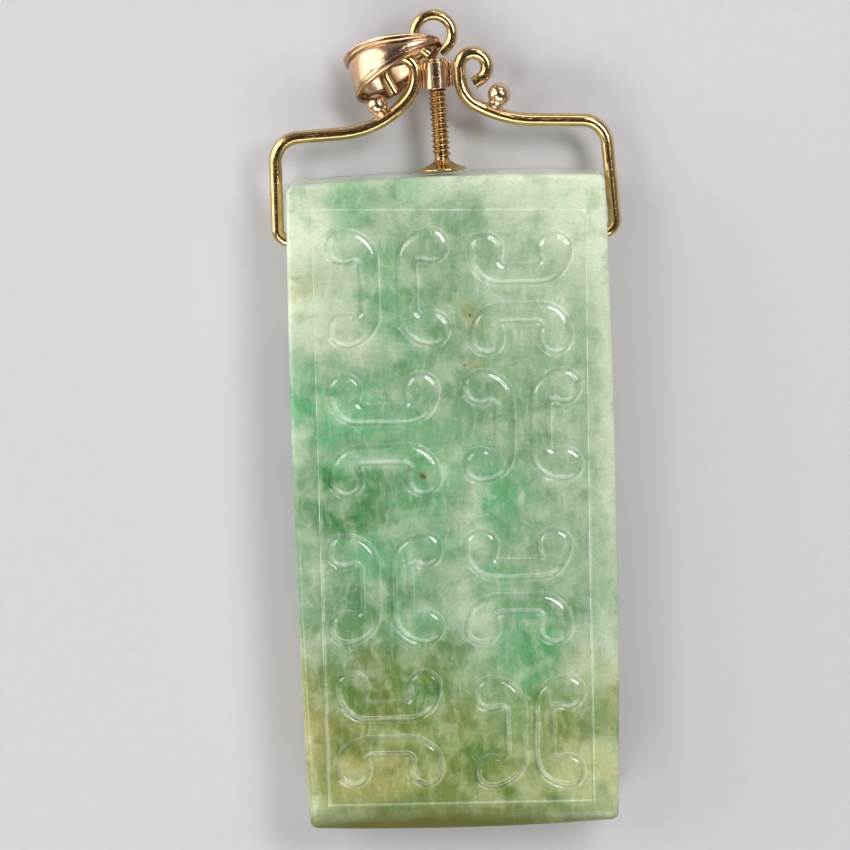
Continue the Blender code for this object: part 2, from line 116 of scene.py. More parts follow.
# The bends of the arms
BEND_STEP = math.radians(2.5)
SCROLL_LEVEL = 33.15 * MM
SHOULDER_ACROSS = 12.62 * MM
LEG_SPLAY = math.radians(2.5)
SHOULDER_RADIUS = 1.9 * MM
ANKLE_RADIUS = 0.9 * MM
PIN_LENGTH = 0.9 * MM
PIN_HOLE_RADIUS = 0.6 * MM
PIN_HOLE_DEPTH = 1.3 * MM

# The arms were bent by hand and are not quite alike: lengths in millimetres, angles in degrees
ArmShape = namedtuple(
    "ArmShape",
    "curl_radius curl_angle tail throat throat_across sweep_radius sweep_angle ease_radius slope",
)
ARM_SHAPES = {
    -1: ArmShape(1.16, 206, 1.15, 0.1, 1.55, 2.9, 42, 7.2, 1.5),
    1: ArmShape(1.05, 240, 0.65, 0.8, 1.76, 2.4, 58, 9.0, 3.5),
}
# Of each bead in millimetres: place across, radius, and height of its middle above the wire
BeadShape = namedtuple("BeadShape", "across radius middle")
BEAD_SHAPES = {-1: BeadShape(4.0, 0.81, 0.72), 1: BeadShape(4.1, 0.86, 0.94)}
SIDES = ((-1, "left"), (1, "right"))


# ------------------------------------------------------------------ properties


def length_setting(name, description, default, least, most):
    """A length that a user can change; the three numbers are in millimetres."""
    default, least, most = default * MM, least * MM, most * MM
    return bpy.props.FloatProperty(
        name=name, description=description, default=default, min=least, max=most, unit="LENGTH"
    )


def colour_setting(name, description, default):
    return bpy.props.FloatVectorProperty(
        name=name, description=description, default=default, subtype="COLOR", min=0, max=1
    )


def power_setting(name, description, default):
    return bpy.props.FloatProperty(
        name=name, description=description, default=default, min=0, max=20, unit="POWER"
    )


class TabletSizes(bpy.types.PropertyGroup):
    edge_rounding: length_setting("Edge rounding", "Radius of the tablet's edges", 0.45, 0.1, 3)
    wall_width: length_setting("Wall width", "Width of each scroll's rounded wall", 0.44, 0.1, 0.8)
    cut_width: length_setting("Cut width", "Width of the cut round each scroll", 0.32, 0.1, 0.8)
    cut_depth: length_setting("Cut depth", "Depth of the cut below the face", 0.13, 0.05, 0.6)
    line_width: length_setting("Border line width", "Width of the border's line", 0.18, 0.1, 0.6)
    line_depth: length_setting("Border line depth", "Depth of the border's line", 0.05, 0.02, 0.3)


class JadeColours(bpy.types.PropertyGroup):
    body: colour_setting("Body", "Grey-green of most of the stone", (0.265, 0.405, 0.25))
    # The stone's pale clouds; also used for the painted highlight on the top and right margins
    milk_and_highlight: colour_setting("Milk", "Pale, cloudy parts of the stone", (0.76, 0.81, 0.64))
    leaf: colour_setting("Leaf", "Fresh green veins and patches", (0.12, 0.44, 0.20))
    moss: colour_setting("Moss", "Deep green, clear parts of the stone", (0.075, 0.25, 0.085))
    olive: colour_setting("Olive", "Yellow-green of the lower end", (0.195, 0.25, 0.062))
    straw: colour_setting("Straw", "Beige-yellow stain along the edges", (0.46, 0.43, 0.185))
    # Painted shade: the dark brown-green painted on the lower edge, where shade falls
    lower_edge_shade: colour_setting("Bark", "Brown-green of the rubbed lower edge", (0.13, 0.135, 0.035))
    cut: colour_setting("Cut", "Fine white frost that the cutting wheel left", (0.66, 0.76, 0.62))
    rust: colour_setting("Rust", "Small brown spots in the stone", (0.17, 0.08, 0.01))


class GoldSizes(bpy.types.PropertyGroup):
    wire: length_setting("Arm wire", "Diameter of the arms' wire", 1.0, 0.5, 2)
    ring_wire: length_setting("Ring wire", "Diameter of the ring's wire", 0.84, 0.4, 1.5)
    solder: length_setting("Solder", "Spread of the solder round each ball's foot", 0.3, 0.05, 0.6)
    thread_pitch: length_setting("Thread pitch", "Rise of the screw's thread a turn", 0.4, 0.2, 1)
    thread_depth: length_setting("Thread depth", "Depth of the screw's thread", 0.19, 0.05, 0.3)


class GoldColours(bpy.types.PropertyGroup):
    yellow: colour_setting("Yellow gold", "Arms, clamp screw and ring", (0.76, 0.55, 0.26))
    rose: colour_setting("Rosy gold", "Bail, beads and collar", (0.78, 0.55, 0.36))


class StageSettings(bpy.types.PropertyGroup):
    floor: colour_setting("Floor", "Colour of the plain floor", (0.60, 0.582, 0.605))
    key: power_setting("Key light", "Power of the small light beyond the ring, on the right", 0.45)
    fill: power_setting("Fill light", "Power of the broad light over the near left corner", 0.19)
    strips: power_setting("Strip lights", "Power of the strip that the wires mirror", 0.33)
    sky: bpy.props.FloatProperty(
        name="Surroundings", description="Brightness of the room low down; it is dark overhead",
        default=0.26, min=0, max=5,
    )


# ------------------------------------------------------------------ working on meshes


WIRE_SIDES = 28
WIRE_WOBBLE = 0.012
MERGE_DISTANCE = 0.002 * MM


def deselect_all():
    if bpy.context.object and bpy.context.object.mode != "OBJECT":
        bpy.ops.object.mode_set(mode="OBJECT")
    bpy.ops.object.select_all(action="DESELECT")


def make_active(piece):
    deselect_all()
    piece.select_set(True)
    bpy.context.view_layer.objects.active = piece


def apply_modifiers(piece):
    make_active(piece)
    for modifier in list(piece.modifiers):
        bpy.ops.object.modifier_apply(modifier=modifier.name)


def add_groove_shade(piece, amounts):
    """Mark where painted shade darkens the grooves, with 0 to 1 for each point."""
    groove_shade = piece.data.attributes.new("groove_shade", "FLOAT", "POINT")
    groove_shade.data.foreach_set("value", amounts)


def settle(piece):
    """Put the piece's place into its mesh, so that its object sits at the origin."""
    make_active(piece)
    bpy.ops.object.transform_apply(location=True, rotation=True, scale=True)


def join(pieces):
    """One piece of several, under the first one's name."""
    deselect_all()
    for piece in pieces:
        piece.select_set(True)
    bpy.context.view_layer.objects.active = pieces[0]
    bpy.ops.object.join()
    return pieces[0]


def smooth(piece, angle):
    make_active(piece)
    bpy.ops.object.shade_smooth_by_angle(angle=math.radians(angle), keep_sharp_edges=False)


def finish_piece(piece, slot, node):
    """Give the piece its slot's finish, hang it under the root body, and hide the imported solid
    it stands for.
    """
    piece.data.materials.clear()
    piece.data.materials.append(material_for(slot))
    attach(piece, "root")
    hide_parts(node)


def swept_wire(name, path, radius):
    """Round wire of RADIUS along a path of points, its ends capped and their rims eased."""
    bpy.ops.curve.primitive_nurbs_path_add()
    wire = bpy.context.object
    wire.name = name
    curve = wire.data
    curve.splines.clear()
    spline = curve.splines.new("POLY")
    spline.points.add(len(path) - 1)
    for point, place in zip(spline.points, path):
        point.co = (*place, 1)
        point.radius = 0.99 - WIRE_WOBBLE * abs(noise.noise(Vector(place) / (1.3 * MM)))
    curve.dimensions = "3D"
    curve.twist_mode = "MINIMUM"
    curve.bevel_depth = radius
    curve.bevel_resolution = WIRE_SIDES // 4 - 1
    curve.use_fill_caps = True
    make_active(wire)
    bpy.ops.object.convert(target="MESH")
    wire = bpy.context.object
    merge_doubles(wire)
    ease_cap_rims(wire, 0.12 * radius)
    smooth(wire, 50)
    return wire


def merge_doubles(piece):
    make_active(piece)
    bpy.ops.object.mode_set(mode="EDIT")
    bpy.ops.mesh.select_all(action="SELECT")
    bpy.ops.mesh.remove_doubles(threshold=MERGE_DISTANCE)
    bpy.ops.mesh.normals_make_consistent(inside=False)
    bpy.ops.object.mode_set(mode="OBJECT")


def select_faces(piece, chosen):
    """Select the faces that CHOSEN marks, one value a face, and stay in edit mode."""
    make_active(piece)
    bpy.ops.object.mode_set(mode="EDIT")
    bpy.ops.mesh.select_mode(type="FACE")
    bpy.ops.mesh.select_all(action="DESELECT")
    bpy.ops.object.mode_set(mode="OBJECT")
    for face, wanted in zip(piece.data.polygons, chosen):
        face.select = bool(wanted)
    bpy.ops.object.mode_set(mode="EDIT")


def leave_faces():
    bpy.ops.mesh.select_mode(type="VERT")
    bpy.ops.object.mode_set(mode="OBJECT")


def ease_cap_rims(wire, width):
    """Bevel the rim of each end cap, which is the only face with many corners."""
    select_faces(wire, [len(face.vertices) >= WIRE_SIDES // 2 for face in wire.data.polygons])
    bpy.ops.mesh.region_to_loop()
    bpy.ops.mesh.bevel(offset=width, segments=3, affect="EDGES")
    leave_faces()


def turned(name, profile, steps, rise=0.0, turns=1):
    """A profile of (radius, height) points turned about Z, with a rise a turn for a thread."""
    bpy.ops.mesh.primitive_plane_add(size=MM)
    piece = bpy.context.object
    piece.name = name
    mesh = piece.data
    mesh.clear_geometry()
    edges = [(i, i + 1) for i in range(len(profile) - 1)]
    mesh.from_pydata([(radius, 0, height) for radius, height in profile], edges, [])
    screw = piece.modifiers.new("turned", "SCREW")
    screw.steps = steps
    screw.render_steps = steps
    screw.iterations = turns
    screw.screw_offset = rise
    screw.use_merge_vertices = rise == 0
    screw.merge_threshold = 0.001 * MM
    apply_modifiers(piece)
    merge_doubles(piece)
    return piece


# ------------------------------------------------------------------ the tablet


def border_place(x, y, height):
    """A point of the bordered panel, which is turned a little on the tablet's face."""
    turned_place = Matrix.Rotation(BORDER_TURN, 2) @ Vector((x, y)) + BORDER_CENTRE
    return Vector((turned_place.x, turned_place.y, height))


def panel_place(across, along, grow, height):
    """A point of the panel GROW outside its half sizes; its top edge was cut a little askew."""
    x = across * (BORDER_WIDTH / 2 + grow)
    y = along * (BORDER_LENGTH / 2 + grow) - BORDER_SLANT * across * max(0, along) ** 5
    return border_place(x, y, height)


def slab_place(across, along, inset, height):
    """A point INSET from the tablet's outline; across and along run from -1 to 1."""
    half_width = TABLET_HALF.x - SIDE_BOW
    half_length = TABLET_HALF.y - END_BOW
    radius = CORNER_RADIUS
    across, along = math.sin(across * math.pi / 2), math.sin(along * math.pi / 2)
    x = across * half_width
    y = along * half_length
    core = Vector((
        max(-half_width + radius, min(half_width - radius, x)),
        max(-half_length + radius, min(half_length - radius, y)),
    ))
    outward = (Vector((x, y)) - core).normalized()
    place = core + outward * (radius - inset)
    place.x += SIDE_BOW * (1 - along**2) * outward.x
    place.y += END_BOW * (1 - across**2) * outward.y + END_SLANT * across * (outward.y > 0)
    return lower_edge_rolled(Vector((place.x, place.y, height)))


def lower_edge_rolled(place):
    """The lower end is rubbed down further than the other edges."""
    near = max(0, 1 - (place.y + TABLET_HALF.y) / LOWER_ROLL)
    place.z -= LOWER_ROLL_FALL * near**2 * place.z / TABLET_HIGH.z
    return place


def arc(centre, radius_x, radius_y, start, end):
    steps = max(1, round(abs(end - start) / SCROLL_STEP))
    angles = [start + (end - start) * i / steps for i in range(steps + 1)]
    x, y = centre
    return [(x + radius_x * math.cos(angle), y + radius_y * math.sin(angle)) for angle in angles]


def scroll_outline(length):
    """A C open to +X, its back on X = 0 and its middle at Y = 0, clockwise."""
    lobe_x = SCROLL_WIDTH - LOBE_RADIUS
    lobe_y = length / 2 - LOBE_RADIUS
    fillet_x = STEM_WIDTH + NOTCH_FILLET
    reach = LOBE_RADIUS + NOTCH_FILLET
    fillet_y = lobe_y - math.sqrt(reach**2 - (fillet_x - lobe_x) ** 2)
    meeting = math.atan2(fillet_y - lobe_y, fillet_x - lobe_x)
    back_y = length / 2 - BACK_ROUNDING
    half = arc((lobe_x, back_y), lobe_x, BACK_ROUNDING, math.pi, math.pi / 2)
    half += arc((lobe_x, lobe_y), LOBE_RADIUS, LOBE_RADIUS, math.pi / 2, meeting)[1:]
    half += arc((fillet_x, fillet_y), NOTCH_FILLET, NOTCH_FILLET, meeting + math.pi, math.pi)[1:]
    return half + [(x, -y) for x, y in reversed(half)]


def all_outlines():
    """Every scroll's outline as an array of places on the tablet's face."""
    outlines = []
    for upright, x, y, length, spacing in PAIRS:
        for side in (1, -1):
            points = []
            for across, along in scroll_outline(length * MM):
                across = side * (across - SCROLL_WIDTH / 2 + spacing / 2 * MM)
                along = side * along
                place = (across, along) if upright else (-along, across)
                points.append(border_place(x * MM + place[0], y * MM + place[1], 0)[:2])
            outlines.append(np.array(points))
    return outlines


def signed_distance(points, outline):
    """Distance of each point from a closed outline, negative inside it."""
    starts = outline
    spans = np.roll(outline, -1, axis=0) - starts
    best = np.full(len(points), np.inf)
    inside = np.zeros(len(points), bool)
    for start, span in zip(starts, spans):
        offset = points - start
        share = np.clip(offset @ span / (span @ span), 0, 1)
        gap = offset - share[:, None] * span
        best = np.minimum(best, (gap**2).sum(1))
        crosses = (offset[:, 1] < 0) != (offset[:, 1] < span[1])
        if span[1]:
            crosses &= offset[:, 0] < span[0] * offset[:, 1] / span[1]
            inside ^= crosses
    return np.where(inside, -1, 1) * np.sqrt(best)


def distance_to_scrolls(points, outlines):
    """The least distance to any scroll's outline, in or out, up to SCROLL_REACH."""
    nearest = np.full(len(points), SCROLL_REACH)
    for outline in outlines:
        low = outline.min(0) - SCROLL_REACH
        high = outline.max(0) + SCROLL_REACH
        near = ((points > low) & (points < high)).all(1)
        found = signed_distance(points[near], outline)
        nearest[near] = np.minimum(nearest[near], found)
    return nearest


def smoothstep(share):
    share = np.clip(share, 0, 1)
    return share * share * (3 - 2 * share)


def cut_depth_at(distance, sizes):
    """Depth by distance from a scroll's outline: a wide rounded wall, then a steep rise."""
    wall = smoothstep(distance / sizes.wall_width + 0.75)
    rise = smoothstep((distance - 0.45 * sizes.cut_width) / (0.55 * sizes.cut_width))
    return sizes.cut_depth * wall * (1 - rise)


def select_open_edge(piece):
    make_active(piece)
    bpy.ops.object.mode_set(mode="EDIT")
    bpy.ops.mesh.select_mode(type="EDGE")
    bpy.ops.mesh.select_all(action="DESELECT")
    bpy.ops.mesh.select_non_manifold()
    bpy.ops.object.mode_set(mode="OBJECT")


def extrude_edge(piece, place):
    """Extrude the selected loop of edges and put each new point where PLACE says."""
    bpy.ops.object.mode_set(mode="EDIT")
    bpy.ops.mesh.extrude_region()
    bpy.ops.object.mode_set(mode="OBJECT")
    spread = piece.data.attributes["spread"].data
    for vertex in piece.data.vertices:
        if vertex.select:
            across, along, _ = spread[vertex.index].vector
            vertex.co = place(across, along)


def rim_loops(sizes):
    """(inset, height) of each loop from the border line outwards, down the side and under."""
    top = TABLET_HIGH.z
    radius = sizes.edge_rounding
    loops = []
    for i in range(9):
        angle = math.pi / 2 * i / 8
        drop = MARGIN_FALL + (radius - MARGIN_FALL) * (1 - math.cos(angle))
        loops.append((radius * (1 - math.sin(angle)), top - drop))
    for share in (0.33, 0.66):
        loops.append((0, top - radius - (top - 2 * radius) * share))
    for i in range(7):
        angle = math.pi / 2 * i / 6
        loops.append((radius * (1 - math.cos(angle)), radius * (1 - math.sin(angle))))
    return loops


def tablet_blank(sizes):
    """The tablet before it is carved: a panel of squares, then loops out and round to the back."""
    columns, rows = 64, 146
    line_section = ((0.35, 0.75), (0.5, 1), (0.65, 0.75), (1, 0))
    margin_shares = (0.2, 0.38, 0.54, 0.68, 0.8, 0.91)
    inner = -sizes.line_width / 2
    bpy.ops.mesh.primitive_grid_add(x_subdivisions=columns, y_subdivisions=rows, size=2)
    blank = bpy.context.object
    blank.name = "carved_tablet"
    spread = blank.data.attributes.new("spread", "FLOAT_VECTOR", "POINT")
    spread.data.foreach_set("vector", [c for v in blank.data.vertices for c in v.co])
    blank.data.attributes.new("carved", "FLOAT", "POINT")
    top = TABLET_HIGH.z
    for vertex in blank.data.vertices:
        vertex.co = panel_place(vertex.co.x, vertex.co.y, inner, top)

    select_open_edge(blank)
    for out, drop in line_section:
        grow = inner + sizes.line_width * out
        height = top - sizes.line_depth * drop
        extrude_edge(blank, lambda across, along: panel_place(across, along, grow, height))
        carved = blank.data.attributes["carved"].data
        for vertex in blank.data.vertices:
            if vertex.select:
                carved[vertex.index].value = 2 * drop
    for share in margin_shares:

        def margin_place(across, along):
            near = panel_place(across, along, inner + sizes.line_width, top)
            far = slab_place(across, along, sizes.edge_rounding, top - MARGIN_FALL)
            place = near.lerp(far, share)
            place.z = top - MARGIN_FALL * share**2
            return lower_edge_rolled(place)

        extrude_edge(blank, margin_place)
    for inset, height in rim_loops(sizes):
        extrude_edge(blank, lambda across, along: slab_place(across, along, inset, height))
    extrude_edge(blank, lambda across, along: panel_place(across, along, 0, 0))
    bpy.ops.object.mode_set(mode="EDIT")
    bpy.ops.mesh.edge_face_add()
    bpy.ops.object.mode_set(mode="OBJECT")
    merge_doubles(blank)
    return blank


def drill_pin_holes(blank):
    """The blind holes in the long sides that take the arms' pins."""
    for side in (-1, 1):
        across = TABLET_HALF.x - SIDE_BOW * (PIN_LEVEL / TABLET_HALF.y) ** 2
        place = (side * across, PIN_LEVEL, CLAMP_HEIGHT)
        bpy.ops.mesh.primitive_cylinder_add(
            vertices=32, radius=PIN_HOLE_RADIUS, depth=2 * PIN_HOLE_DEPTH,
            location=place, rotation=(0, math.pi / 2, 0),
        )
        drill = bpy.context.object
        cut = blank.modifiers.new("pin_hole", "BOOLEAN")
        cut.operation = "DIFFERENCE"
        cut.solver = "EXACT"
        cut.object = drill
        apply_modifiers(blank)
        bpy.data.objects.remove(drill)


def panel_points(mesh):
    """Plan places of the mesh's points, and which of them lie on the panel inside the border."""
    places = np.empty(len(mesh.vertices) * 3)
    mesh.vertices.foreach_get("co", places)
    places = places.reshape(-1, 3)
    spread = np.empty(len(mesh.vertices) * 3)
    mesh.attributes["spread"].data.foreach_get("vector", spread)
    spread = np.abs(spread.reshape(-1, 3)[:, :2]).max(1)
    on_panel = (spread <= 1.0001) & (places[:, 2] > TABLET_HIGH.z - ON_FACE)
    return places, on_panel


def refine_round_scrolls(blank, outlines):
    """Split the panel's squares finely wherever a cut will pass."""
    centres = np.array([face.center for face in blank.data.polygons])
    distance = distance_to_scrolls(centres[:, :2], outlines)
    on_top = centres[:, 2] > TABLET_HIGH.z - ON_FACE
    select_faces(blank, (np.abs(distance) < REFINED_BAND) & on_top)
    bpy.ops.mesh.subdivide(number_cuts=REFINED_CUTS)
    leave_faces()


def carve(blank, outlines, sizes):
    """Sink the points round each scroll, with the small unevenness of hand work."""
    places, on_panel = panel_points(blank.data)
    points = places[on_panel][:, :2].copy()
    noise.seed_set(HAND_SEED)
    drift = np.array([noise.noise_vector(Vector((x, y, 0)) / (2.2 * MM))[:2] for x, y in points])
    distance = distance_to_scrolls(points + drift * 0.07 * MM, outlines)
    uneven = np.array([noise.noise(Vector((x, y, 0.01)) / (1.6 * MM)) for x, y in points])
    depth = cut_depth_at(distance, sizes) * (1 + 0.25 * uneven)
    places[on_panel, 2] -= depth
    blank.data.vertices.foreach_set("co", places.ravel())
    mask = blank.data.attributes["carved"].data
    values = np.zeros(len(places))
    mask.foreach_get("value", values)
    values[on_panel] = depth / sizes.cut_depth
    mask.foreach_set("value", values)
    blank.data.update()


def carved_tablet(sizes):
    outlines = all_outlines()
    blank = tablet_blank(sizes)
    drill_pin_holes(blank)
    refine_round_scrolls(blank, outlines)
    carve(blank, outlines, sizes)
    smooth(blank, 50)
    return blank


# ------------------------------------------------------------------ the clamp


def leaned(across, up):
    """Place of a point that goes with the collar, which has turned about the pins' middle."""
    place = Matrix.Rotation(CLAMP_LEAN, 2) @ Vector((across, up - PIN_LEVEL))
    return Vector((place.x, place.y + PIN_LEVEL, CLAMP_HEIGHT))


def racked(across, up):
    """Place of a point of an arm: square at the pins, leaning with the collar at its height."""
    share = (up - PIN_LEVEL) / (COLLAR_LEVEL - PIN_LEVEL)
    lean = math.tan(CLAMP_LEAN)
    return Vector((across - lean * (up - PIN_LEVEL), up + lean * share * across, CLAMP_HEIGHT))


def bent_path(start, heading, steps):
    """Places along a wire: each step is a length, or a radius and an angle, + to the left."""
    place = Vector(start)
    path = [place.copy()]
    for step in steps:
        if not isinstance(step, tuple):
            count = max(1, round(step / (0.5 * MM)))
            for _ in range(count):
                place = place + Vector((math.cos(heading), math.sin(heading))) * step / count
                path.append(place.copy())
            continue
        radius, angle = step
        side = math.copysign(1, angle)
        centre = place + Vector((-math.sin(heading), math.cos(heading))) * radius * side
        count = max(2, round(abs(angle) / BEND_STEP))
        for _ in range(count):
            place = centre + Matrix.Rotation(angle / count, 2) @ (place - centre)
            heading += angle / count
            path.append(place.copy())
    return path


def arm_path(side):
    """An arm's middle line as on the right, from the scroll's cut end to the pin's end."""
    shape = ARM_SHAPES[side]
    tail, throat, throat_across = shape.tail * MM, shape.throat * MM, shape.throat_across * MM
    curl_radius, curl_angle = shape.curl_radius * MM, math.radians(shape.curl_angle)
    sweep_radius, sweep_angle = shape.sweep_radius * MM, math.radians(shape.sweep_angle)
    ease_radius, slope = shape.ease_radius * MM, math.radians(shape.slope)
    centre = Vector((throat_across + curl_radius, SCROLL_LEVEL))
    begin = centre + Matrix.Rotation(-curl_angle, 2) @ Vector((-curl_radius, 0))
    heading = 1.5 * math.pi - curl_angle
    start = begin - Vector((math.cos(heading), math.sin(heading))) * tail
    curl = (tail, (curl_radius, curl_angle), throat)
    ease = (ease_radius, math.pi / 2 - sweep_angle - slope)
    upper = (*curl, (sweep_radius, sweep_angle), ease)
    eased = bent_path(start, heading, upper)[-1]
    shoulder = (SHOULDER_RADIUS, slope + LEG_SPLAY - math.pi / 2)
    shoulder_reach = SHOULDER_RADIUS * (math.cos(LEG_SPLAY) - math.sin(slope))
    run = (SHOULDER_ACROSS - shoulder_reach - eased.x) / math.cos(slope)
    above = bent_path(start, heading, (*upper, run, shoulder))[-1]
    ankle_drop = ANKLE_RADIUS * (1 + math.sin(LEG_SPLAY))
    leg = (above.y - ankle_drop - PIN_LEVEL) / math.cos(LEG_SPLAY)
    ankle = (ANKLE_RADIUS, -math.pi / 2 - LEG_SPLAY)
    return bent_path(start, heading, (*upper, run, shoulder, leg, ankle, PIN_LENGTH))


def stand_on(piece, base, top):
    """Turn a piece modelled along Z so that it runs from BASE towards TOP, and settle it there."""
    piece.rotation_mode = "QUATERNION"
    piece.rotation_quaternion = (top - base).to_track_quat("Z", "X")
    piece.location = base
    settle(piece)
    piece.rotation_mode = "XYZ"


def arm(side, name, sizes):
    path = [racked(side * place.x, place.y) for place in arm_path(side)]
    return swept_wire(name, path, sizes.wire / 2)


def bead(side, name, sizes):
    """A ball on the outer side of the arm, in a small pool of solder."""
    across, radius, middle = (length * MM for length in BEAD_SHAPES[side])
    path = arm_path(side)
    throat = min(range(len(path)), key=lambda i: path[i].x)
    outwards = path[throat:]
    index = max(i for i, place in enumerate(outwards) if place.x < across)
    before, after = outwards[index : index + 2]
    foot = before.lerp(after, (across - before.x) / (after.x - before.x))
    along = (after - before).normalized()
    away = Vector((-along.y, along.x))
    foot += away * sizes.wire / 2

    neck = math.radians(41)
    ball_steps, pool_steps = 30, 8
    sunk, pool_curve = 0.26 * MM, 1.6
    profile = []
    for i in range(ball_steps + 1):
        angle = (math.pi - neck) * i / ball_steps
        profile.append((radius * math.sin(angle), middle + radius * math.cos(angle)))
    neck_radius, neck_height = profile[-1]
    for i in range(1, pool_steps + 1):
        share = i / pool_steps
        profile.append((
            neck_radius + sizes.solder * share**pool_curve,
            neck_height * (1 - share) ** pool_curve - sunk * share**pool_curve,
        ))
    profile.append((0, -sunk - 0.02 * MM))
    ball = turned(name, profile, 56)
    base = racked(side * foot.x, foot.y)
    top = racked(side * (foot.x + away.x * radius), foot.y + away.y * radius)
    stand_on(ball, base, top)
    smooth(ball, 60)
    return ball


def eased_rim(radius, height, ease, inwards, upwards):
    """Profile points round the rim of a turned piece, held close so that the flats stay flat."""
    points = []
    for i in range(5):
        angle = math.pi / 2 * i / 4
        points.append((
            radius - inwards * ease * (1 - math.sin(angle)),
            height - upwards * ease * (1 - math.cos(angle)),
        ))
    held = 0.02 * MM
    before = (points[0][0] - inwards * held, points[0][1])
    after = (radius, points[-1][1] - upwards * held)
    return [before, *points, after]


def tube_profile(bore, outer, height, ease):
    """A closed profile: down the outside, then up the bore."""
    outside = eased_rim(outer, height, ease, 1, 1) + eased_rim(outer, 0, ease, 1, -1)[::-1]
    inside = eased_rim(bore, 0, ease, -1, -1) + eased_rim(bore, height, ease, -1, 1)[::-1]
    return outside + inside + outside[:1]


def collar():
    height = COLLAR_TOP - COLLAR_LEVEL
    bore, outer, ease = 0.73 * MM, 0.97 * MM, 0.06 * MM
    lug_radius, lug_ease, lug_inset = 0.2 * MM, 0.07 * MM, 0.05 * MM
    tube = turned("collar_tube", tube_profile(bore, outer, height, ease), 72)
    stand_on(tube, leaned(0, COLLAR_LEVEL), leaned(0, COLLAR_TOP))
    pieces = [tube]
    for across in (-0.92 * MM, 1.03 * MM):
        lug_top = height - lug_inset
        top = [(0, lug_top)] + eased_rim(lug_radius, lug_top, lug_ease, 1, 1)
        foot = eased_rim(lug_radius, lug_inset, lug_ease, 1, -1)[::-1] + [(0, lug_inset)]
        lug = turned("collar_lug", top + foot, 28)
        stand_on(lug, leaned(across, COLLAR_LEVEL), leaned(across, COLLAR_TOP))
        pieces.append(lug)
    piece = join(pieces)
    piece.name = "collar_with_lugs"
    merge_doubles(piece)
    smooth(piece, 40)
    return piece


def clamp_screw(sizes):
    """Foot disc and flare, a cut thread, and the head that carries the ring."""
    crest, head_radius = 0.71 * MM, 0.78 * MM
    root = crest - sizes.thread_depth
    foot_rim, foot_radius, flare = 0.33 * MM, 1.8 * MM, 0.95 * MM
    flare_top = foot_rim + flare
    shank_top = COLLAR_TOP - FOOT_LEVEL
    head_foot, head_top = shank_top + 0.02 * MM, shank_top + 0.23 * MM

    # Under the foot and up its edge: how far in from the foot's radius, and how high
    foot_section = ((1.0, 0), (0.08, 0.14), (0.02, 0.18), (0, 0.22), (0, 0.28))
    profile = [(0, 0)] + [(foot_radius - inset * MM, up * MM) for inset, up in foot_section]
    flare_steps = 14
    for i in range(flare_steps + 1):
        share = 1 - i / flare_steps
        spread = (foot_radius - 0.04 * MM - root) * share**2.6
        profile.append((root + spread, foot_rim + flare * (1 - share)))
    profile += [(root, shank_top)]
    profile += eased_rim(head_radius, head_foot, 0.03 * MM, 1, -1)
    profile += eased_rim(head_radius, head_top, 0.09 * MM, 1, 1)[::-1]
    profile += [(0, head_top)]
    core = turned("clamp_screw_core", profile, 64)

    pitch = sizes.thread_pitch
    buried = root - 0.05 * MM
    ridge_steps = 12
    ridge = [(buried, 0)]
    for i in range(ridge_steps + 1):
        share = i / ridge_steps
        rise = (1 - math.cos(FULL_TURN * share)) / 2
        ridge.append((root + sizes.thread_depth * rise**1.3, (0.02 + 0.96 * share) * pitch))
    ridge.append((buried, pitch))
    turns = round((COLLAR_LEVEL - FOOT_LEVEL - flare_top) / pitch) + 1
    thread = turned("clamp_screw_thread", ridge, 48, pitch, turns)
    thread.location.z = flare_top - 0.5 * pitch
    settle(thread)
    piece = join([core, thread])
    piece.name = "threaded_clamp_screw"

    # Painted shade in the thread's roots, darker the deeper the point
    def groove_shade_at(place):
        if not flare_top - pitch < place.z < shank_top - 0.1 * MM:
            return 0.0
        depth = crest - math.hypot(place.x, place.y)
        return max(0.0, min(1.0, depth / sizes.thread_depth - 0.25))

    add_groove_shade(piece, [groove_shade_at(vertex.co) for vertex in piece.data.vertices])
    stand_on(piece, leaned(0, FOOT_LEVEL), leaned(0, COLLAR_TOP))
    smooth(piece, 50)
    return piece


def ring(sizes):
    opening = math.radians(42)
    radius, tail = 1.42 * MM, 0.68 * MM
    begin = Vector((0, RING_LEVEL)) + Vector((math.sin(opening), -math.cos(opening))) * radius
    start = begin - Vector((math.cos(opening), math.sin(opening))) * tail
    steps = (tail, (radius, FULL_TURN - 2 * opening), tail)
    path = [leaned(place.x, place.y) for place in bent_path(start, opening, steps)]
    return swept_wire("eye_ring", path, sizes.ring_wire / 2)


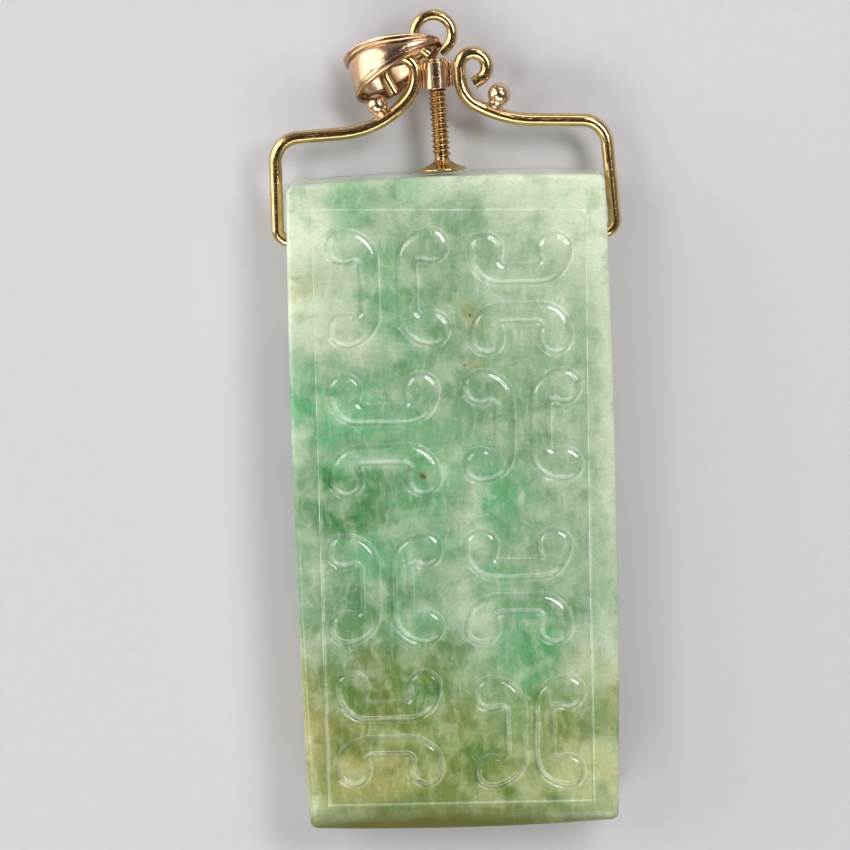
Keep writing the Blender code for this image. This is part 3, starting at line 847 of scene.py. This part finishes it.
def bail():
    """A tapered band bent to a closed teardrop, with a rounded rim along both edges."""
    tip = Vector((-0.4, 35.2)) * MM
    length, depth, wall = 6.75 * MM, 4.0 * MM, 0.3 * MM
    narrow, wide = 0.45 * MM, 3.5 * MM
    # From one edge to the middle: how far in, in parts of the rim, and how high, in millimetres
    half_section = (
        (0, 0), (0.05, 0.12), (0.14, 0.18), (0.24, 0.17), (0.33, 0.08), (0.4, 0.05), (0.56, 0.05),
        (0.64, 0.1), (0.74, 0.17), (0.86, 0.16), (0.96, 0.06), (1.04, -0.05), (1.14, -0.06),
        (1.3, 0.0), (1.5, 0.02),
    )
    rows = 2 * len(half_section) + 2
    columns = 120

    def line(angle):
        share = (1 - math.cos(angle)) / 2
        half = math.sin(angle) * max(0, math.sin(angle / 2)) ** 0.36
        return Vector((length * share, depth / 2 * half))

    def skin(around, row):
        angle = FULL_TURN * around
        here = line(angle)
        step = 0.02
        along = (line(angle + step) - line(angle - step)).normalized()
        outward = Vector((-along.y, along.x))
        share = here.x / length
        width = narrow + (wide - narrow) * (1 - (1 - share) ** 1.8)
        rim = min(0.58 * MM, 0.3 * width)
        fullness = min(1, width / (2 * MM))
        half = len(half_section)
        if row < half:
            offset, rise = half_section[row]
            across = offset * rim - width / 2
        elif row >= rows - half:
            offset, rise = half_section[rows - 1 - row]
            across = width / 2 - offset * rim
        else:
            inner = width / 2 - half_section[-1][0] * rim
            across = inner * (-0.33 if row == half else 0.33)
            rise = 0.05
        flat = here + outward * (wall + rise * MM * fullness)
        return Vector((flat.x, across, flat.y))

    bpy.ops.mesh.primitive_grid_add(x_subdivisions=columns, y_subdivisions=rows - 1, size=1)
    band = bpy.context.object
    band.name = "tapered_bail"
    rows_of_points = [round((vertex.co.y + 0.5) * (rows - 1)) for vertex in band.data.vertices]
    for vertex, row in zip(band.data.vertices, rows_of_points):
        around = vertex.co.x + 0.5 + 0.5 / columns
        vertex.co = skin(around % 1, row)
    offsets = [offset for offset, _ in half_section]
    grooves = [offsets.index(offset) for offset in (0.4, 0.56, 1.04, 1.14)]
    # Painted shade in the grooves along both rims
    add_groove_shade(band, [0.7 * (min(row, rows - 1 - row) in grooves) for row in rows_of_points])
    merge_doubles(band)
    thick = band.modifiers.new("wall", "SOLIDIFY")
    thick.thickness = wall
    thick.offset = -1
    thick.use_even_offset = False
    apply_modifiers(band)
    soft = band.modifiers.new("soft_edges", "BEVEL")
    soft.width = 0.03 * MM
    soft.segments = 2
    soft.limit_method = "ANGLE"
    soft.angle_limit = math.radians(50)
    apply_modifiers(band)
    turn = (
        Matrix.Rotation(math.radians(204), 4, "Z")
        @ Matrix.Rotation(math.radians(10), 4, "Y")
        @ Matrix.Rotation(math.radians(30), 4, "X")
    )
    band.matrix_world = Matrix.Translation((tip.x, tip.y, CLAMP_HEIGHT)) @ turn
    settle(band)
    smooth(band, 50)
    return band


# ------------------------------------------------------------------ materials


def add_node(tree, kind, inputs=None, **settings):
    """A shader node with its settings, and its inputs set or linked by name or number."""
    node = tree.nodes.new(kind)
    for name, value in settings.items():
        setattr(node, name, value)
    for key, value in (inputs or {}).items():
        socket = node.inputs[key]
        if isinstance(value, bpy.types.NodeSocket):
            tree.links.new(value, socket)
        else:
            socket.default_value = value
    return node


def mix_colour(tree, factor, first, second, blend="MIX"):
    node = add_node(tree, "ShaderNodeMix", data_type="RGBA", blend_type=blend)
    for key, value in ((0, factor), (6, first), (7, second)):
        socket = node.inputs[key]
        if isinstance(value, bpy.types.NodeSocket):
            tree.links.new(value, socket)
        elif key:
            socket.default_value = (*value[:3], 1)
        else:
            socket.default_value = value
    return node.outputs[2]


def maths(tree, operation, *values):
    inputs = dict(enumerate(values))
    return add_node(tree, "ShaderNodeMath", inputs, operation=operation).outputs[0]


def vector_maths(tree, operation, *vectors):
    inputs = dict(enumerate(vectors))
    return add_node(tree, "ShaderNodeVectorMath", inputs, operation=operation).outputs[0]


def remap(tree, value, low, high, to_low=0.0, to_high=1.0):
    names = ("Value", "From Min", "From Max", "To Min", "To Max")
    inputs = dict(zip(names, (value, low, high, to_low, to_high)))
    return add_node(tree, "ShaderNodeMapRange", inputs, interpolation_type="SMOOTHSTEP").outputs[0]


def clouds(tree, vector, scale, detail, roughness=0.5):
    inputs = {"Vector": vector, "Scale": scale, "Detail": detail, "Roughness": roughness}
    return add_node(tree, "ShaderNodeTexNoise", inputs)


def warped(tree, vector, by, strength):
    """The vector pushed about by the colours of the noise BY."""
    centred = vector_maths(tree, "SUBTRACT", by.outputs["Color"], (0.5, 0.5, 0.5))
    return vector_maths(tree, "MULTIPLY_ADD", centred, (strength, strength, strength), vector)


def mapped(tree, vector, turn, scale):
    inputs = {"Vector": vector, "Rotation": turn, "Scale": scale}
    return add_node(tree, "ShaderNodeMapping", inputs).outputs[0]


def new_group(name, inputs, outputs):
    """A shader node group with its sockets made, and its input and output nodes."""
    group = bpy.data.node_groups.new(name, "ShaderNodeTree")
    for direction, sockets in (("INPUT", inputs), ("OUTPUT", outputs)):
        for socket_name, kind in sockets.items():
            kind = "NodeSocket" + kind
            group.interface.new_socket(socket_name, in_out=direction, socket_type=kind)
    return group, group.nodes.new("NodeGroupInput"), group.nodes.new("NodeGroupOutput")


def new_material(name):
    """A material, its node tree, its shader, and the place of each point in millimetres."""
    material = bpy.data.materials.new(name)
    material.use_nodes = True
    tree = material.node_tree
    place = add_node(tree, "ShaderNodeTexCoord").outputs["Object"]
    millimetres = mapped(tree, place, (0, 0, 0), (1000, 1000, 1000))
    return material, tree, tree.nodes["Principled BSDF"], millimetres


def patch_group():
    """A soft-edged oval of colour: its strength at its heart, 0 outside its size."""
    inputs = {"Vector": "Vector", "Scale": "Vector", "Offset": "Vector", "Strength": "Float"}
    group, given, result = new_group("Stone patch", inputs, {"Mask": "Float"})
    places = [given.outputs[name] for name in ("Vector", "Scale", "Offset")]
    scaled = vector_maths(group, "MULTIPLY_ADD", *places)
    length = add_node(group, "ShaderNodeVectorMath", {0: scaled}, operation="LENGTH")
    fade = remap(group, length.outputs["Value"], 1.0, 0.15, 0.0, given.outputs["Strength"])
    group.links.new(fade, result.inputs["Mask"])
    return group


def polish_group():
    """Fine scratches and a slight waviness, as polished work has: a height and a wear mask."""
    inputs = {"Vector": "Vector", "Scale": "Float"}
    group, given, result = new_group("Polish marks", inputs, {"Height": "Float", "Wear": "Float"})
    size = {0: given.outputs["Vector"], "Scale": given.outputs["Scale"]}
    scaled = add_node(group, "ShaderNodeVectorMath", size, operation="SCALE").outputs[0]
    height = maths(group, "MULTIPLY", clouds(group, scaled, 0.9, 2.0).outputs["Fac"], 0.6)
    wear = None
    for turn, stretch in ((0.5, 26.0), (-0.9, 34.0), (1.9, 22.0)):
        along = mapped(group, scaled, (0.2, 0.3, turn), (1.0, stretch, stretch))
        scratch = remap(group, clouds(group, along, 0.55, 1.0).outputs["Fac"], 0.66, 0.74)
        height = maths(group, "MULTIPLY_ADD", scratch, -0.12, height)
        wear = maths(group, "MAXIMUM", wear, scratch) if wear else scratch
    group.links.new(height, result.inputs["Height"])
    group.links.new(wear, result.inputs["Wear"])
    return group


def add_polish_marks(tree, shader, millimetres, scale, strength, depth):
    """Link the marks' bump to the shader, and return where they have dulled the polish."""
    group = bpy.data.node_groups.get("Polish marks") or polish_group()
    marks = add_node(tree, "ShaderNodeGroup", node_tree=group)
    tree.links.new(millimetres, marks.inputs["Vector"])
    marks.inputs["Scale"].default_value = scale
    inputs = {"Height": marks.outputs["Height"], "Strength": strength, "Distance": depth}
    bump = add_node(tree, "ShaderNodeBump", inputs)
    tree.links.new(bump.outputs[0], shader.inputs["Normal"])
    return marks.outputs["Wear"]


FINISHES = {
    "jade": "polished_jade",
    "yellow_gold": "yellow_gold_polished",
    "rose_gold": "rose_gold_polished",
}

# Patches of the stone in millimetres: colour, middle, half sizes and strength; the pale patches on
# the top and right margins are painted highlight
PATCHES = (
    ("milk_and_highlight", (-12.5, 20.0), (8.5, 12.0), 1.0),
    # Painted highlight along the top margin
    ("milk_and_highlight", (-3.0, 26.0), (12.0, 3.2), 0.7),
    ("leaf", (-7.6, 23.5), (2.6, 5.0), 0.5),
    ("leaf", (-5.2, 17.5), (2.8, 5.5), 0.35),
    ("milk_and_highlight", (-8.5, 13.2), (5.5, 2.6), 0.35),
    ("leaf", (-3.4, 13.0), (3.0, 5.0), 0.35),
    # Painted highlight along the top margin, on the right
    ("milk_and_highlight", (6.5, 26.0), (11.5, 4.8), 1.0),
    ("milk_and_highlight", (5.2, 21.6), (3.2, 3.0), 0.7),
    ("milk_and_highlight", (6.0, 15.5), (6.0, 6.5), 0.35),
    ("milk_and_highlight", (-4.5, 21.6), (4.5, 2.6), 0.3),
    ("milk_and_highlight", (9.8, 20.0), (3.5, 3.5), 0.3),
    # Painted highlight along the right edge
    ("milk_and_highlight", (11.5, 22.0), (6.5, 8.0), 0.9),
    ("milk_and_highlight", (12.8, 9.0), (4.2, 28.0), 0.7),
    ("milk_and_highlight", (9.5, 3.0), (4.5, 14.0), 0.15),
    ("milk_and_highlight", (11.6, -12.5), (5.5, 6.0), 0.6),
    ("moss", (0.5, 9.5), (3.5, 3.5), 0.3),
    ("moss", (4.0, 7.5), (5.0, 4.5), 0.15),
    ("leaf", (-10.0, 8.2), (7.5, 4.0), 0.8),
    ("leaf", (-6.0, 6.0), (5.0, 3.0), 0.4),
    ("milk_and_highlight", (-12.2, 5.8), (2.6, 2.2), 0.4),
    ("leaf", (-2.2, 5.0), (5.0, 4.5), 0.4),
    ("leaf", (-3.0, 1.0), (3.4, 4.6), 0.5),
    ("leaf", (-8.8, 2.4), (3.4, 3.2), 0.8),
    ("moss", (-8.3, 0.6), (5.2, 3.6), 1.0),
    ("moss", (-3.0, 2.2), (2.4, 2.4), 0.45),
    ("leaf", (-6.0, -3.4), (5.5, 3.2), 0.5),
    ("leaf", (3.0, 1.0), (3.2, 5.4), 0.65),
    ("milk_and_highlight", (-0.4, 3.0), (1.8, 2.2), 0.25),
    ("milk_and_highlight", (1.0, -1.4), (2.0, 4.5), 0.35),
    ("milk_and_highlight", (0.6, -7.4), (2.4, 4.8), 0.25),
    ("leaf", (3.0, -6.0), (2.2, 2.4), 0.4),
    ("milk_and_highlight", (2.6, -9.6), (2.4, 4.2), 0.35),
    ("moss", (-6.6, -7.4), (5.2, 3.8), 0.5),
    ("moss", (7.0, -7.4), (4.2, 3.6), 0.45),
    ("leaf", (-3.4, -9.0), (3.0, 2.8), 0.3),
    ("leaf", (5.7, -9.5), (3.0, 3.0), 0.35),
    ("olive", (-8.0, -17.0), (12.0, 10.0), 1.0),
    ("olive", (2.0, -22.0), (14.0, 9.0), 0.9),
    ("olive", (10.0, -18.5), (7.0, 7.0), 0.6),
    ("moss", (-8.5, -9.5), (4.0, 3.0), 0.35),
    ("moss", (-2.8, -12.2), (4.4, 3.0), 0.95),
    ("olive", (-2.4, -12.6), (4.6, 3.2), 0.8),
    ("olive", (-8.0, -14.8), (6.5, 4.2), 1.0),
    ("moss", (-2.6, -13.4), (3.2, 2.6), 0.6),
    ("leaf", (5.2, -12.3), (2.8, 3.8), 0.8),
    ("moss", (5.4, -12.2), (2.6, 2.4), 0.45),
    ("leaf", (6.0, -15.5), (3.5, 3.0), 0.3),
    ("leaf", (8.6, -16.5), (3.8, 3.0), 0.3),
    ("olive", (0.6, -15.8), (3.0, 2.8), 0.5),
    ("olive", (7.0, -15.8), (4.8, 2.8), 0.45),
    ("straw", (9.8, -12.6), (3.2, 2.2), 0.35),
    ("moss", (0.9, -19.0), (2.8, 1.7), 0.7),
    ("olive", (0.0, -18.4), (2.6, 2.2), 0.5),
    ("straw", (8.8, -18.6), (3.6, 2.6), 0.15),
    ("milk_and_highlight", (-2.6, -18.0), (2.8, 2.0), 0.2),
    ("milk_and_highlight", (6.6, -21.4), (4.6, 2.2), 0.3),
    ("milk_and_highlight", (11.0, -20.6), (4.5, 4.0), 0.7),
    ("straw", (10.5, -21.0), (4.2, 3.0), 0.5),
    ("straw", (12.2, -14.5), (2.8, 4.2), 0.55),
    ("olive", (-8.0, -19.5), (5.0, 3.8), 0.4),
    ("straw", (-8.2, -21.2), (4.4, 2.2), 0.7),
    ("straw", (-13.2, -17.0), (3.8, 12.0), 0.95),
    ("straw", (-5.0, -21.2), (3.0, 1.6), 0.5),
    ("straw", (-11.8, 17.4), (2.4, 2.4), 0.45),
    ("milk_and_highlight", (-12.2, 15.0), (2.4, 2.2), 0.5),
    ("straw", (1.5, 14.9), (1.4, 1.0), 0.5),
    ("straw", (1.1, 11.0), (1.0, 0.7), 0.5),
    ("moss", (-3.0, 26.0), (10.0, 1.5), 0.6),
)
# Smaller patches that keep closer to their places
TOUCHES = (
    ("moss", (-8.5, 0.0), (3.2, 2.4), 0.8),
    ("body", (-10.0, 18.2), (3.6, 2.4), 0.4),
    ("leaf", (-2.8, 24.6), (2.6, 1.8), 0.3),
    ("body", (5.2, 14.2), (4.5, 3.2), 0.3),
    ("moss", (2.8, 6.1), (2.2, 2.2), 0.25),
    ("leaf", (-0.2, 2.8), (2.4, 2.4), 0.25),
    ("leaf", (-1.0, -2.8), (3.6, 2.2), 0.25),
    ("moss", (-6.4, -7.4), (4.0, 3.6), 0.35),
    ("moss", (-8.5, -14.0), (3.2, 3.4), 0.4),
    ("olive", (-2.8, -12.2), (2.6, 2.4), 0.4),
    ("moss", (5.7, -11.6), (2.6, 2.6), 0.25),
    ("olive", (8.4, -17.4), (2.8, 3.0), 0.65),
    ("milk_and_highlight", (5.2, -18.4), (2.0, 2.4), 0.15),
    ("milk_and_highlight", (-11.4, 12.6), (2.4, 2.4), 0.3),
    ("milk_and_highlight", (-5.7, 12.6), (2.6, 2.6), 0.2),
)
# The lower end is yellower, and its edge is painted dark as painted shade and made rougher:
# middle, half sizes and strength
LOWER_END = ((0.0, -20.0), (24.0, 11.0), 0.95)
SHADED_RUBBED_EDGE = ((-3.0, -25.5), (22.0, 2.8), 1.2)
# Rust spots: middle and half sizes
SPOTS = (
    ((-2.41, 2.57), (0.34, 0.4)),
    ((10.11, -6.89), (0.12, 0.22)),
    ((-3.39, -21.36), (0.36, 0.24)),
    ((-4.1, -21.2), (0.18, 0.14)),
    ((1.13, 11.01), (0.2, 0.16)),
    ((1.54, 14.86), (0.24, 0.2)),
)


def patch_mask(tree, vector, centre, size, strength, height=0.9, depth=6.0):
    """How far a patch covers each point: its middle, half sizes and depth are in millimetres."""
    group = bpy.data.node_groups.get("Stone patch") or patch_group()
    patch = add_node(tree, "ShaderNodeGroup", node_tree=group)
    tree.links.new(vector, patch.inputs["Vector"])
    scale = [1 / length for length in (*size, depth)]
    patch.inputs["Scale"].default_value = scale
    patch.inputs["Offset"].default_value = [-at * by for at, by in zip((*centre, height), scale)]
    patch.inputs["Strength"].default_value = strength
    return patch.outputs["Mask"]


def patched(tree, vector, patches, colour, colours, height):
    for name, centre, size, strength in patches:
        mask = patch_mask(tree, vector, centre, size, strength, height)
        colour = mix_colour(tree, mask, colour, getattr(colours, name))
    return colour


def drawn_out(tree, vector, degrees, stretch):
    turn = (0, 0, math.radians(degrees))
    return mapped(tree, vector, turn, (stretch, 1 / stretch, 1))


def veined(tree, millimetres, ruffled, clear, colour, colours):
    """Milky veils and tufts over the stone's patches, clearer depths, fine grain and flecks."""
    veil = clouds(tree, ruffled, 0.42, 4.0).outputs["Fac"]
    colour = mix_colour(tree, remap(tree, veil, 0.46, 0.66, 0.0, 0.26), colour, colours.milk_and_highlight)
    for degrees, scale, strength in ((25, 0.9, 0.22), (-55, 1.3, 0.16)):
        tufts = clouds(tree, drawn_out(tree, ruffled, degrees, 1.8), scale, 3.0).outputs["Fac"]
        tufts = remap(tree, tufts, 0.48, 0.76, 0.0, strength)
        colour = mix_colour(tree, tufts, colour, colours.milk_and_highlight)
    depth = remap(tree, clear, 0.52, 0.3, 0.0, 0.5)
    colour = mix_colour(tree, depth, colour, (0.50, 0.66, 0.50), "MULTIPLY")
    grain = clouds(tree, drawn_out(tree, millimetres, 0, 0.8), 4.0, 2.0, 0.6).outputs["Fac"]
    grain = remap(tree, grain, 0.62, 0.35, 0.0, 0.36)
    colour = mix_colour(tree, grain, colour, (0.72, 0.80, 0.72), "MULTIPLY")
    flecks = clouds(tree, drawn_out(tree, ruffled, 20, 1.4), 1.9, 2.0).outputs["Fac"]
    return mix_colour(tree, remap(tree, flecks, 0.6, 0.8, 0.0, 0.3), colour, colours.cut)


def jade(name, colours):
    """The stone: patches and veins of colour, light scattered inside it, and frosted cuts."""
    material, tree, shader, millimetres = new_material(name)
    swirled = warped(tree, millimetres, clouds(tree, millimetres, 0.26, 4.0, 0.52), 7.0)
    flat = vector_maths(tree, "MULTIPLY", swirled, (1, 1, 0.25))
    ruffled = warped(tree, millimetres, clouds(tree, millimetres, 0.4, 2.0), 1.3)
    speckled = warped(tree, millimetres, clouds(tree, millimetres, 2.6, 2.0, 0.6), 0.7)
    clear = clouds(tree, ruffled, 0.7, 3.0).outputs["Fac"]

    colour = patched(tree, flat, PATCHES, colours.body, colours, height=0.9)
    colour = patched(tree, ruffled, TOUCHES, colour, colours, height=7.0)
    colour = veined(tree, millimetres, ruffled, clear, colour, colours)
    yellower = patch_mask(tree, flat, *LOWER_END)
    colour = mix_colour(tree, yellower, colour, (1.0, 0.98, 0.77), "MULTIPLY")
    # Painted shade on the lower edge; the same mask also makes the edge rougher and less glossy
    shaded_rubbed = patch_mask(tree, ruffled, *SHADED_RUBBED_EDGE, height=7.4, depth=4.2)
    colour = mix_colour(tree, shaded_rubbed, colour, colours.lower_edge_shade)
    for centre, size in SPOTS:
        spot = patch_mask(tree, speckled, centre, size, 0.9, height=7.0, depth=0.8)
        colour = mix_colour(tree, spot, colour, colours.rust)

    carved = add_node(tree, "ShaderNodeAttribute", attribute_name="carved").outputs["Fac"]
    patchy = remap(tree, clear, 0.38, 0.6, 0.25, 1.0)
    frosted = maths(tree, "MULTIPLY", remap(tree, carved, 0.2, 0.95), patchy)
    colour = mix_colour(tree, maths(tree, "MULTIPLY", frosted, 0.08), colour, colours.cut)
    # The border line: its frost is painted pale in the upper part as a painted highlight, and
    # painted dark olive in the lower part as painted shade
    line = remap(tree, carved, 1.1, 1.7)
    highlit_upper_line = maths(tree, "MULTIPLY", line, maths(tree, "SUBTRACT", 1.0, yellower))
    colour = mix_colour(tree, maths(tree, "MULTIPLY", highlit_upper_line, patchy), colour, colours.cut)
    colour = mix_colour(tree, maths(tree, "MULTIPLY", line, yellower), colour, colours.olive)
    tree.links.new(colour, shader.inputs["Base Color"])

    wear = add_polish_marks(tree, shader, millimetres, 0.35, 0.25, 0.05 * MM)
    rough = maths(tree, "MULTIPLY_ADD", wear, 0.12, 0.1)
    rough = maths(tree, "MULTIPLY_ADD", frosted, 0.05, rough)
    rough = maths(tree, "MULTIPLY_ADD", maths(tree, "MAXIMUM", shaded_rubbed, line), 0.45, rough)
    tree.links.new(rough, shader.inputs["Roughness"])
    tree.links.new(remap(tree, shaded_rubbed, 0.0, 0.8, 0.5, 0.06), shader.inputs["Specular IOR Level"])
    shader.inputs["IOR"].default_value = 1.6
    shader.inputs["Subsurface Weight"].default_value = 0.8
    shader.inputs["Subsurface Radius"].default_value = (0.8, 1.0, 0.7)
    shader.inputs["Subsurface Scale"].default_value = 1.1 * MM
    return material


def shaded(colour, shades):
    return [channel * shade for channel, shade in zip(colour, shades)]


def gold(name, colour, worn):
    """Worn gold of that colour: dull stains, painted shade in the grooves, and polish marks."""
    material, tree, shader, millimetres = new_material(name)
    stain = clouds(tree, millimetres, 0.9, 5.0, 0.6).outputs["Fac"]
    tint = remap(tree, stain, 0.4, 0.7)
    mixed = mix_colour(tree, tint, colour, shaded(colour, (0.82, 0.74, 0.62)))
    groove_shade = add_node(tree, "ShaderNodeAttribute", attribute_name="groove_shade").outputs["Fac"]
    # Painted shade: the grooves are painted nearly black
    mixed = mix_colour(tree, groove_shade, mixed, shaded(colour, (0.2, 0.14, 0.1)))
    tree.links.new(mixed, shader.inputs["Base Color"])
    wear = add_polish_marks(tree, shader, millimetres, 1.6, 0.3, 0.03 * MM)
    rough = maths(tree, "MULTIPLY_ADD", wear, 0.15, worn)
    rough = maths(tree, "MULTIPLY_ADD", tint, 0.08, rough)
    tree.links.new(rough, shader.inputs["Roughness"])
    shader.inputs["Metallic"].default_value = 1.0
    return material


def material_for(slot):
    """The finish of that slot, made the first time it is asked for."""
    scene = bpy.context.scene
    name = FINISHES[slot]
    if name in bpy.data.materials:
        return bpy.data.materials[name]
    if slot == "jade":
        return jade(name, scene.pendant_jade)
    if slot == "yellow_gold":
        return gold(name, scene.pendant_gold.yellow, 0.14)
    return gold(name, scene.pendant_gold.rose, 0.16)


# ------------------------------------------------------------------ stage


LIGHT_DISTANCE = 0.3


def soft_light(name, azimuth, elevation, size, power):
    """A rectangular light in that direction, in degrees, turned towards the pendant."""
    turn = Matrix.Rotation(math.radians(azimuth), 3, "Z")
    turn = turn @ Matrix.Rotation(math.radians(-elevation), 3, "Y")
    bpy.ops.object.light_add(type="AREA", location=turn @ Vector((LIGHT_DISTANCE, 0, 0)))
    light = bpy.context.object
    light.name = name
    light.data.shape = "RECTANGLE"
    light.data.size, light.data.size_y = size
    light.data.energy = power
    light.rotation_euler = light.location.to_track_quat("Z", "Y").to_euler()


def room(brightness):
    """Grey surroundings, pale near the floor and dark overhead."""
    world = bpy.data.worlds.new("studio")
    world.use_nodes = True
    tree = world.node_tree
    direction = add_node(tree, "ShaderNodeTexCoord").outputs["Object"]
    height = add_node(tree, "ShaderNodeSeparateXYZ", {"Vector": direction}).outputs["Z"]
    shade = add_node(tree, "ShaderNodeValToRGB", {"Fac": height})
    ramp = shade.color_ramp
    ramp.elements[0].position, ramp.elements[0].color = 0.3, (1, 0.96, 0.96, 1)
    ramp.elements[1].position, ramp.elements[1].color = 0.9, (0.16, 0.13, 0.11, 1)
    ramp.elements.new(0.62).color = (0.38, 0.34, 0.32, 1)
    background = tree.nodes["Background"]
    tree.links.new(shade.outputs["Color"], background.inputs["Color"])
    background.inputs["Strength"].default_value = brightness
    bpy.context.scene.world = world


def floor_material(colour):
    material, tree, shader, millimetres = new_material("plain_floor")
    grain = clouds(tree, millimetres, 0.9, 2.0).outputs["Fac"]
    mixed = mix_colour(tree, grain, colour, shaded(colour, (0.96, 0.96, 0.96)))
    tree.links.new(mixed, shader.inputs["Base Color"])
    shader.inputs["Roughness"].default_value = 0.7
    return material


def set_camera():
    """Looks down on the pendant from a little beyond the ring, through a long lens."""
    aim = Vector((0, 0, 3.5)) * MM
    tilt, roll, distance = math.radians(10), math.radians(-1.74), 247.6 * MM
    towards = Vector((0, math.sin(tilt), math.cos(tilt)))
    across = Vector((1, 0, 0))
    up = towards.cross(across)
    leaning = Matrix.Rotation(roll, 3, towards)
    axes = Matrix((leaning @ across, leaning @ up, towards)).transposed().to_4x4()
    axes.translation = aim + towards * distance
    bpy.ops.object.camera_add()
    camera = bpy.context.object
    camera.name = "camera"
    camera.matrix_world = axes
    camera.data.sensor_width = 36
    camera.data.lens = 135.5
    camera.data.shift_x = -0.0354
    camera.data.shift_y = 0.0894
    camera.data.clip_start = 0.01
    bpy.context.scene.camera = camera


# ------------------------------------------------------------------ operators


class PENDANT_OT_tablet(bpy.types.Operator):
    """Carve the jade tablet and polish it"""

    bl_idname = "pendant.tablet"
    bl_label = "Jade tablet"

    def execute(self, context):
        piece = carved_tablet(context.scene.pendant_tablet)
        finish_piece(piece, "jade", "jade_tablet")
        return {"FINISHED"}


class PENDANT_OT_arms(bpy.types.Operator):
    """Bend the two wire arms"""

    bl_idname = "pendant.arms"
    bl_label = "Arms"

    def execute(self, context):
        for side, name in SIDES:
            piece = arm(side, name + "_wire_arm", context.scene.pendant_gold_sizes)
            finish_piece(piece, "yellow_gold", name + "_arm")
        return {"FINISHED"}


class PENDANT_OT_beads(bpy.types.Operator):
    """Solder a ball on each arm"""

    bl_idname = "pendant.beads"
    bl_label = "Beads"

    def execute(self, context):
        for side, name in SIDES:
            piece = bead(side, name + "_soldered_bead", context.scene.pendant_gold_sizes)
            finish_piece(piece, "rose_gold", name + "_bead")
        return {"FINISHED"}


class PENDANT_OT_collar(bpy.types.Operator):
    """Turn the collar and its lugs"""

    bl_idname = "pendant.collar"
    bl_label = "Collar"

    def execute(self, context):
        finish_piece(collar(), "rose_gold", "collar")
        return {"FINISHED"}


class PENDANT_OT_clamp_screw(bpy.types.Operator):
    """Cut the clamp screw with its foot and head"""

    bl_idname = "pendant.clamp_screw"
    bl_label = "Clamp screw"

    def execute(self, context):
        piece = clamp_screw(context.scene.pendant_gold_sizes)
        finish_piece(piece, "yellow_gold", "clamp_screw")
        return {"FINISHED"}


class PENDANT_OT_ring(bpy.types.Operator):
    """Bend the eye ring on the screw's head"""

    bl_idname = "pendant.ring"
    bl_label = "Ring"

    def execute(self, context):
        piece = ring(context.scene.pendant_gold_sizes)
        finish_piece(piece, "yellow_gold", "ring")
        return {"FINISHED"}


class PENDANT_OT_bail(bpy.types.Operator):
    """Form the tapered bail hooked through the ring"""

    bl_idname = "pendant.bail"
    bl_label = "Bail"

    def execute(self, context):
        finish_piece(bail(), "rose_gold", "bail")
        return {"FINISHED"}


class PENDANT_OT_stage(bpy.types.Operator):
    """Lay the floor and set the lights and the camera"""

    bl_idname = "pendant.stage"
    bl_label = "Stage"

    def execute(self, context):
        settings = context.scene.pendant_stage
        bpy.ops.mesh.primitive_plane_add(size=2.0, location=(0, 0, 0))
        floor = bpy.context.object
        floor.name = "floor"
        floor.data.materials.append(floor_material(settings.floor))
        soft_light("key_light", 42, 54, (0.17, 0.06), settings.key)
        soft_light("left_key_light", 150, 52, (0.12, 0.04), settings.key / 4)
        soft_light("fill_light", 228, 52, (0.16, 0.16), settings.fill)
        soft_light("left_strip", 157, 18, (0.34, 0.24), settings.strips * 1.7)
        soft_light("near_strip", 270, 45, (0.3, 0.11), settings.strips)
        soft_light("far_strip", 75, 25, (0.16, 0.045), settings.strips / 4)
        room(settings.sky)
        context.scene.view_settings.view_transform = "Standard"
        set_camera()
        return {"FINISHED"}


GOLD_OPERATORS = ("arms", "beads", "collar", "clamp_screw", "ring", "bail")


class PENDANT_PT_panel(bpy.types.Panel):
    """The pendant's sizes, colours and pieces"""

    bl_label = "Jade pendant"
    bl_idname = "PENDANT_PT_panel"
    bl_space_type = "VIEW_3D"
    bl_region_type = "UI"
    bl_category = "Pendant"

    def draw(self, context):
        scene = context.scene
        for title, settings, operators in (
            ("Tablet", scene.pendant_tablet, ("tablet",)),
            ("Jade", scene.pendant_jade, ()),
            ("Gold work", scene.pendant_gold_sizes, GOLD_OPERATORS),
            ("Gold", scene.pendant_gold, ()),
            ("Stage", scene.pendant_stage, ("stage",)),
        ):
            box = self.layout.box()
            box.label(text=title)
            for name in settings.__annotations__:
                box.prop(settings, name)
            for name in operators:
                box.operator("pendant." + name)


PROPERTY_GROUPS = (
    ("pendant_tablet", TabletSizes),
    ("pendant_jade", JadeColours),
    ("pendant_gold_sizes", GoldSizes),
    ("pendant_gold", GoldColours),
    ("pendant_stage", StageSettings),
)
OPERATORS = (
    PENDANT_OT_tablet,
    PENDANT_OT_arms,
    PENDANT_OT_beads,
    PENDANT_OT_collar,
    PENDANT_OT_clamp_screw,
    PENDANT_OT_ring,
    PENDANT_OT_bail,
    PENDANT_OT_stage,
)


def register():
    for name, group in PROPERTY_GROUPS:
        bpy.utils.register_class(group)
        setattr(bpy.types.Scene, name, bpy.props.PointerProperty(type=group))
    for operator in OPERATORS:
        bpy.utils.register_class(operator)
    bpy.utils.register_class(PENDANT_PT_panel)


def unregister():
    bpy.utils.unregister_class(PENDANT_PT_panel)
    for operator in reversed(OPERATORS):
        bpy.utils.unregister_class(operator)
    for name, group in reversed(PROPERTY_GROUPS):
        delattr(bpy.types.Scene, name)
        bpy.utils.unregister_class(group)


def main():
    register()
    bpy.ops.pendant.tablet()
    bpy.ops.pendant.arms()
    bpy.ops.pendant.beads()
    bpy.ops.pendant.collar()
    bpy.ops.pendant.clamp_screw()
    bpy.ops.pendant.ring()
    bpy.ops.pendant.bail()
    bpy.ops.pendant.stage()


if __name__ == "__main__":
    main()
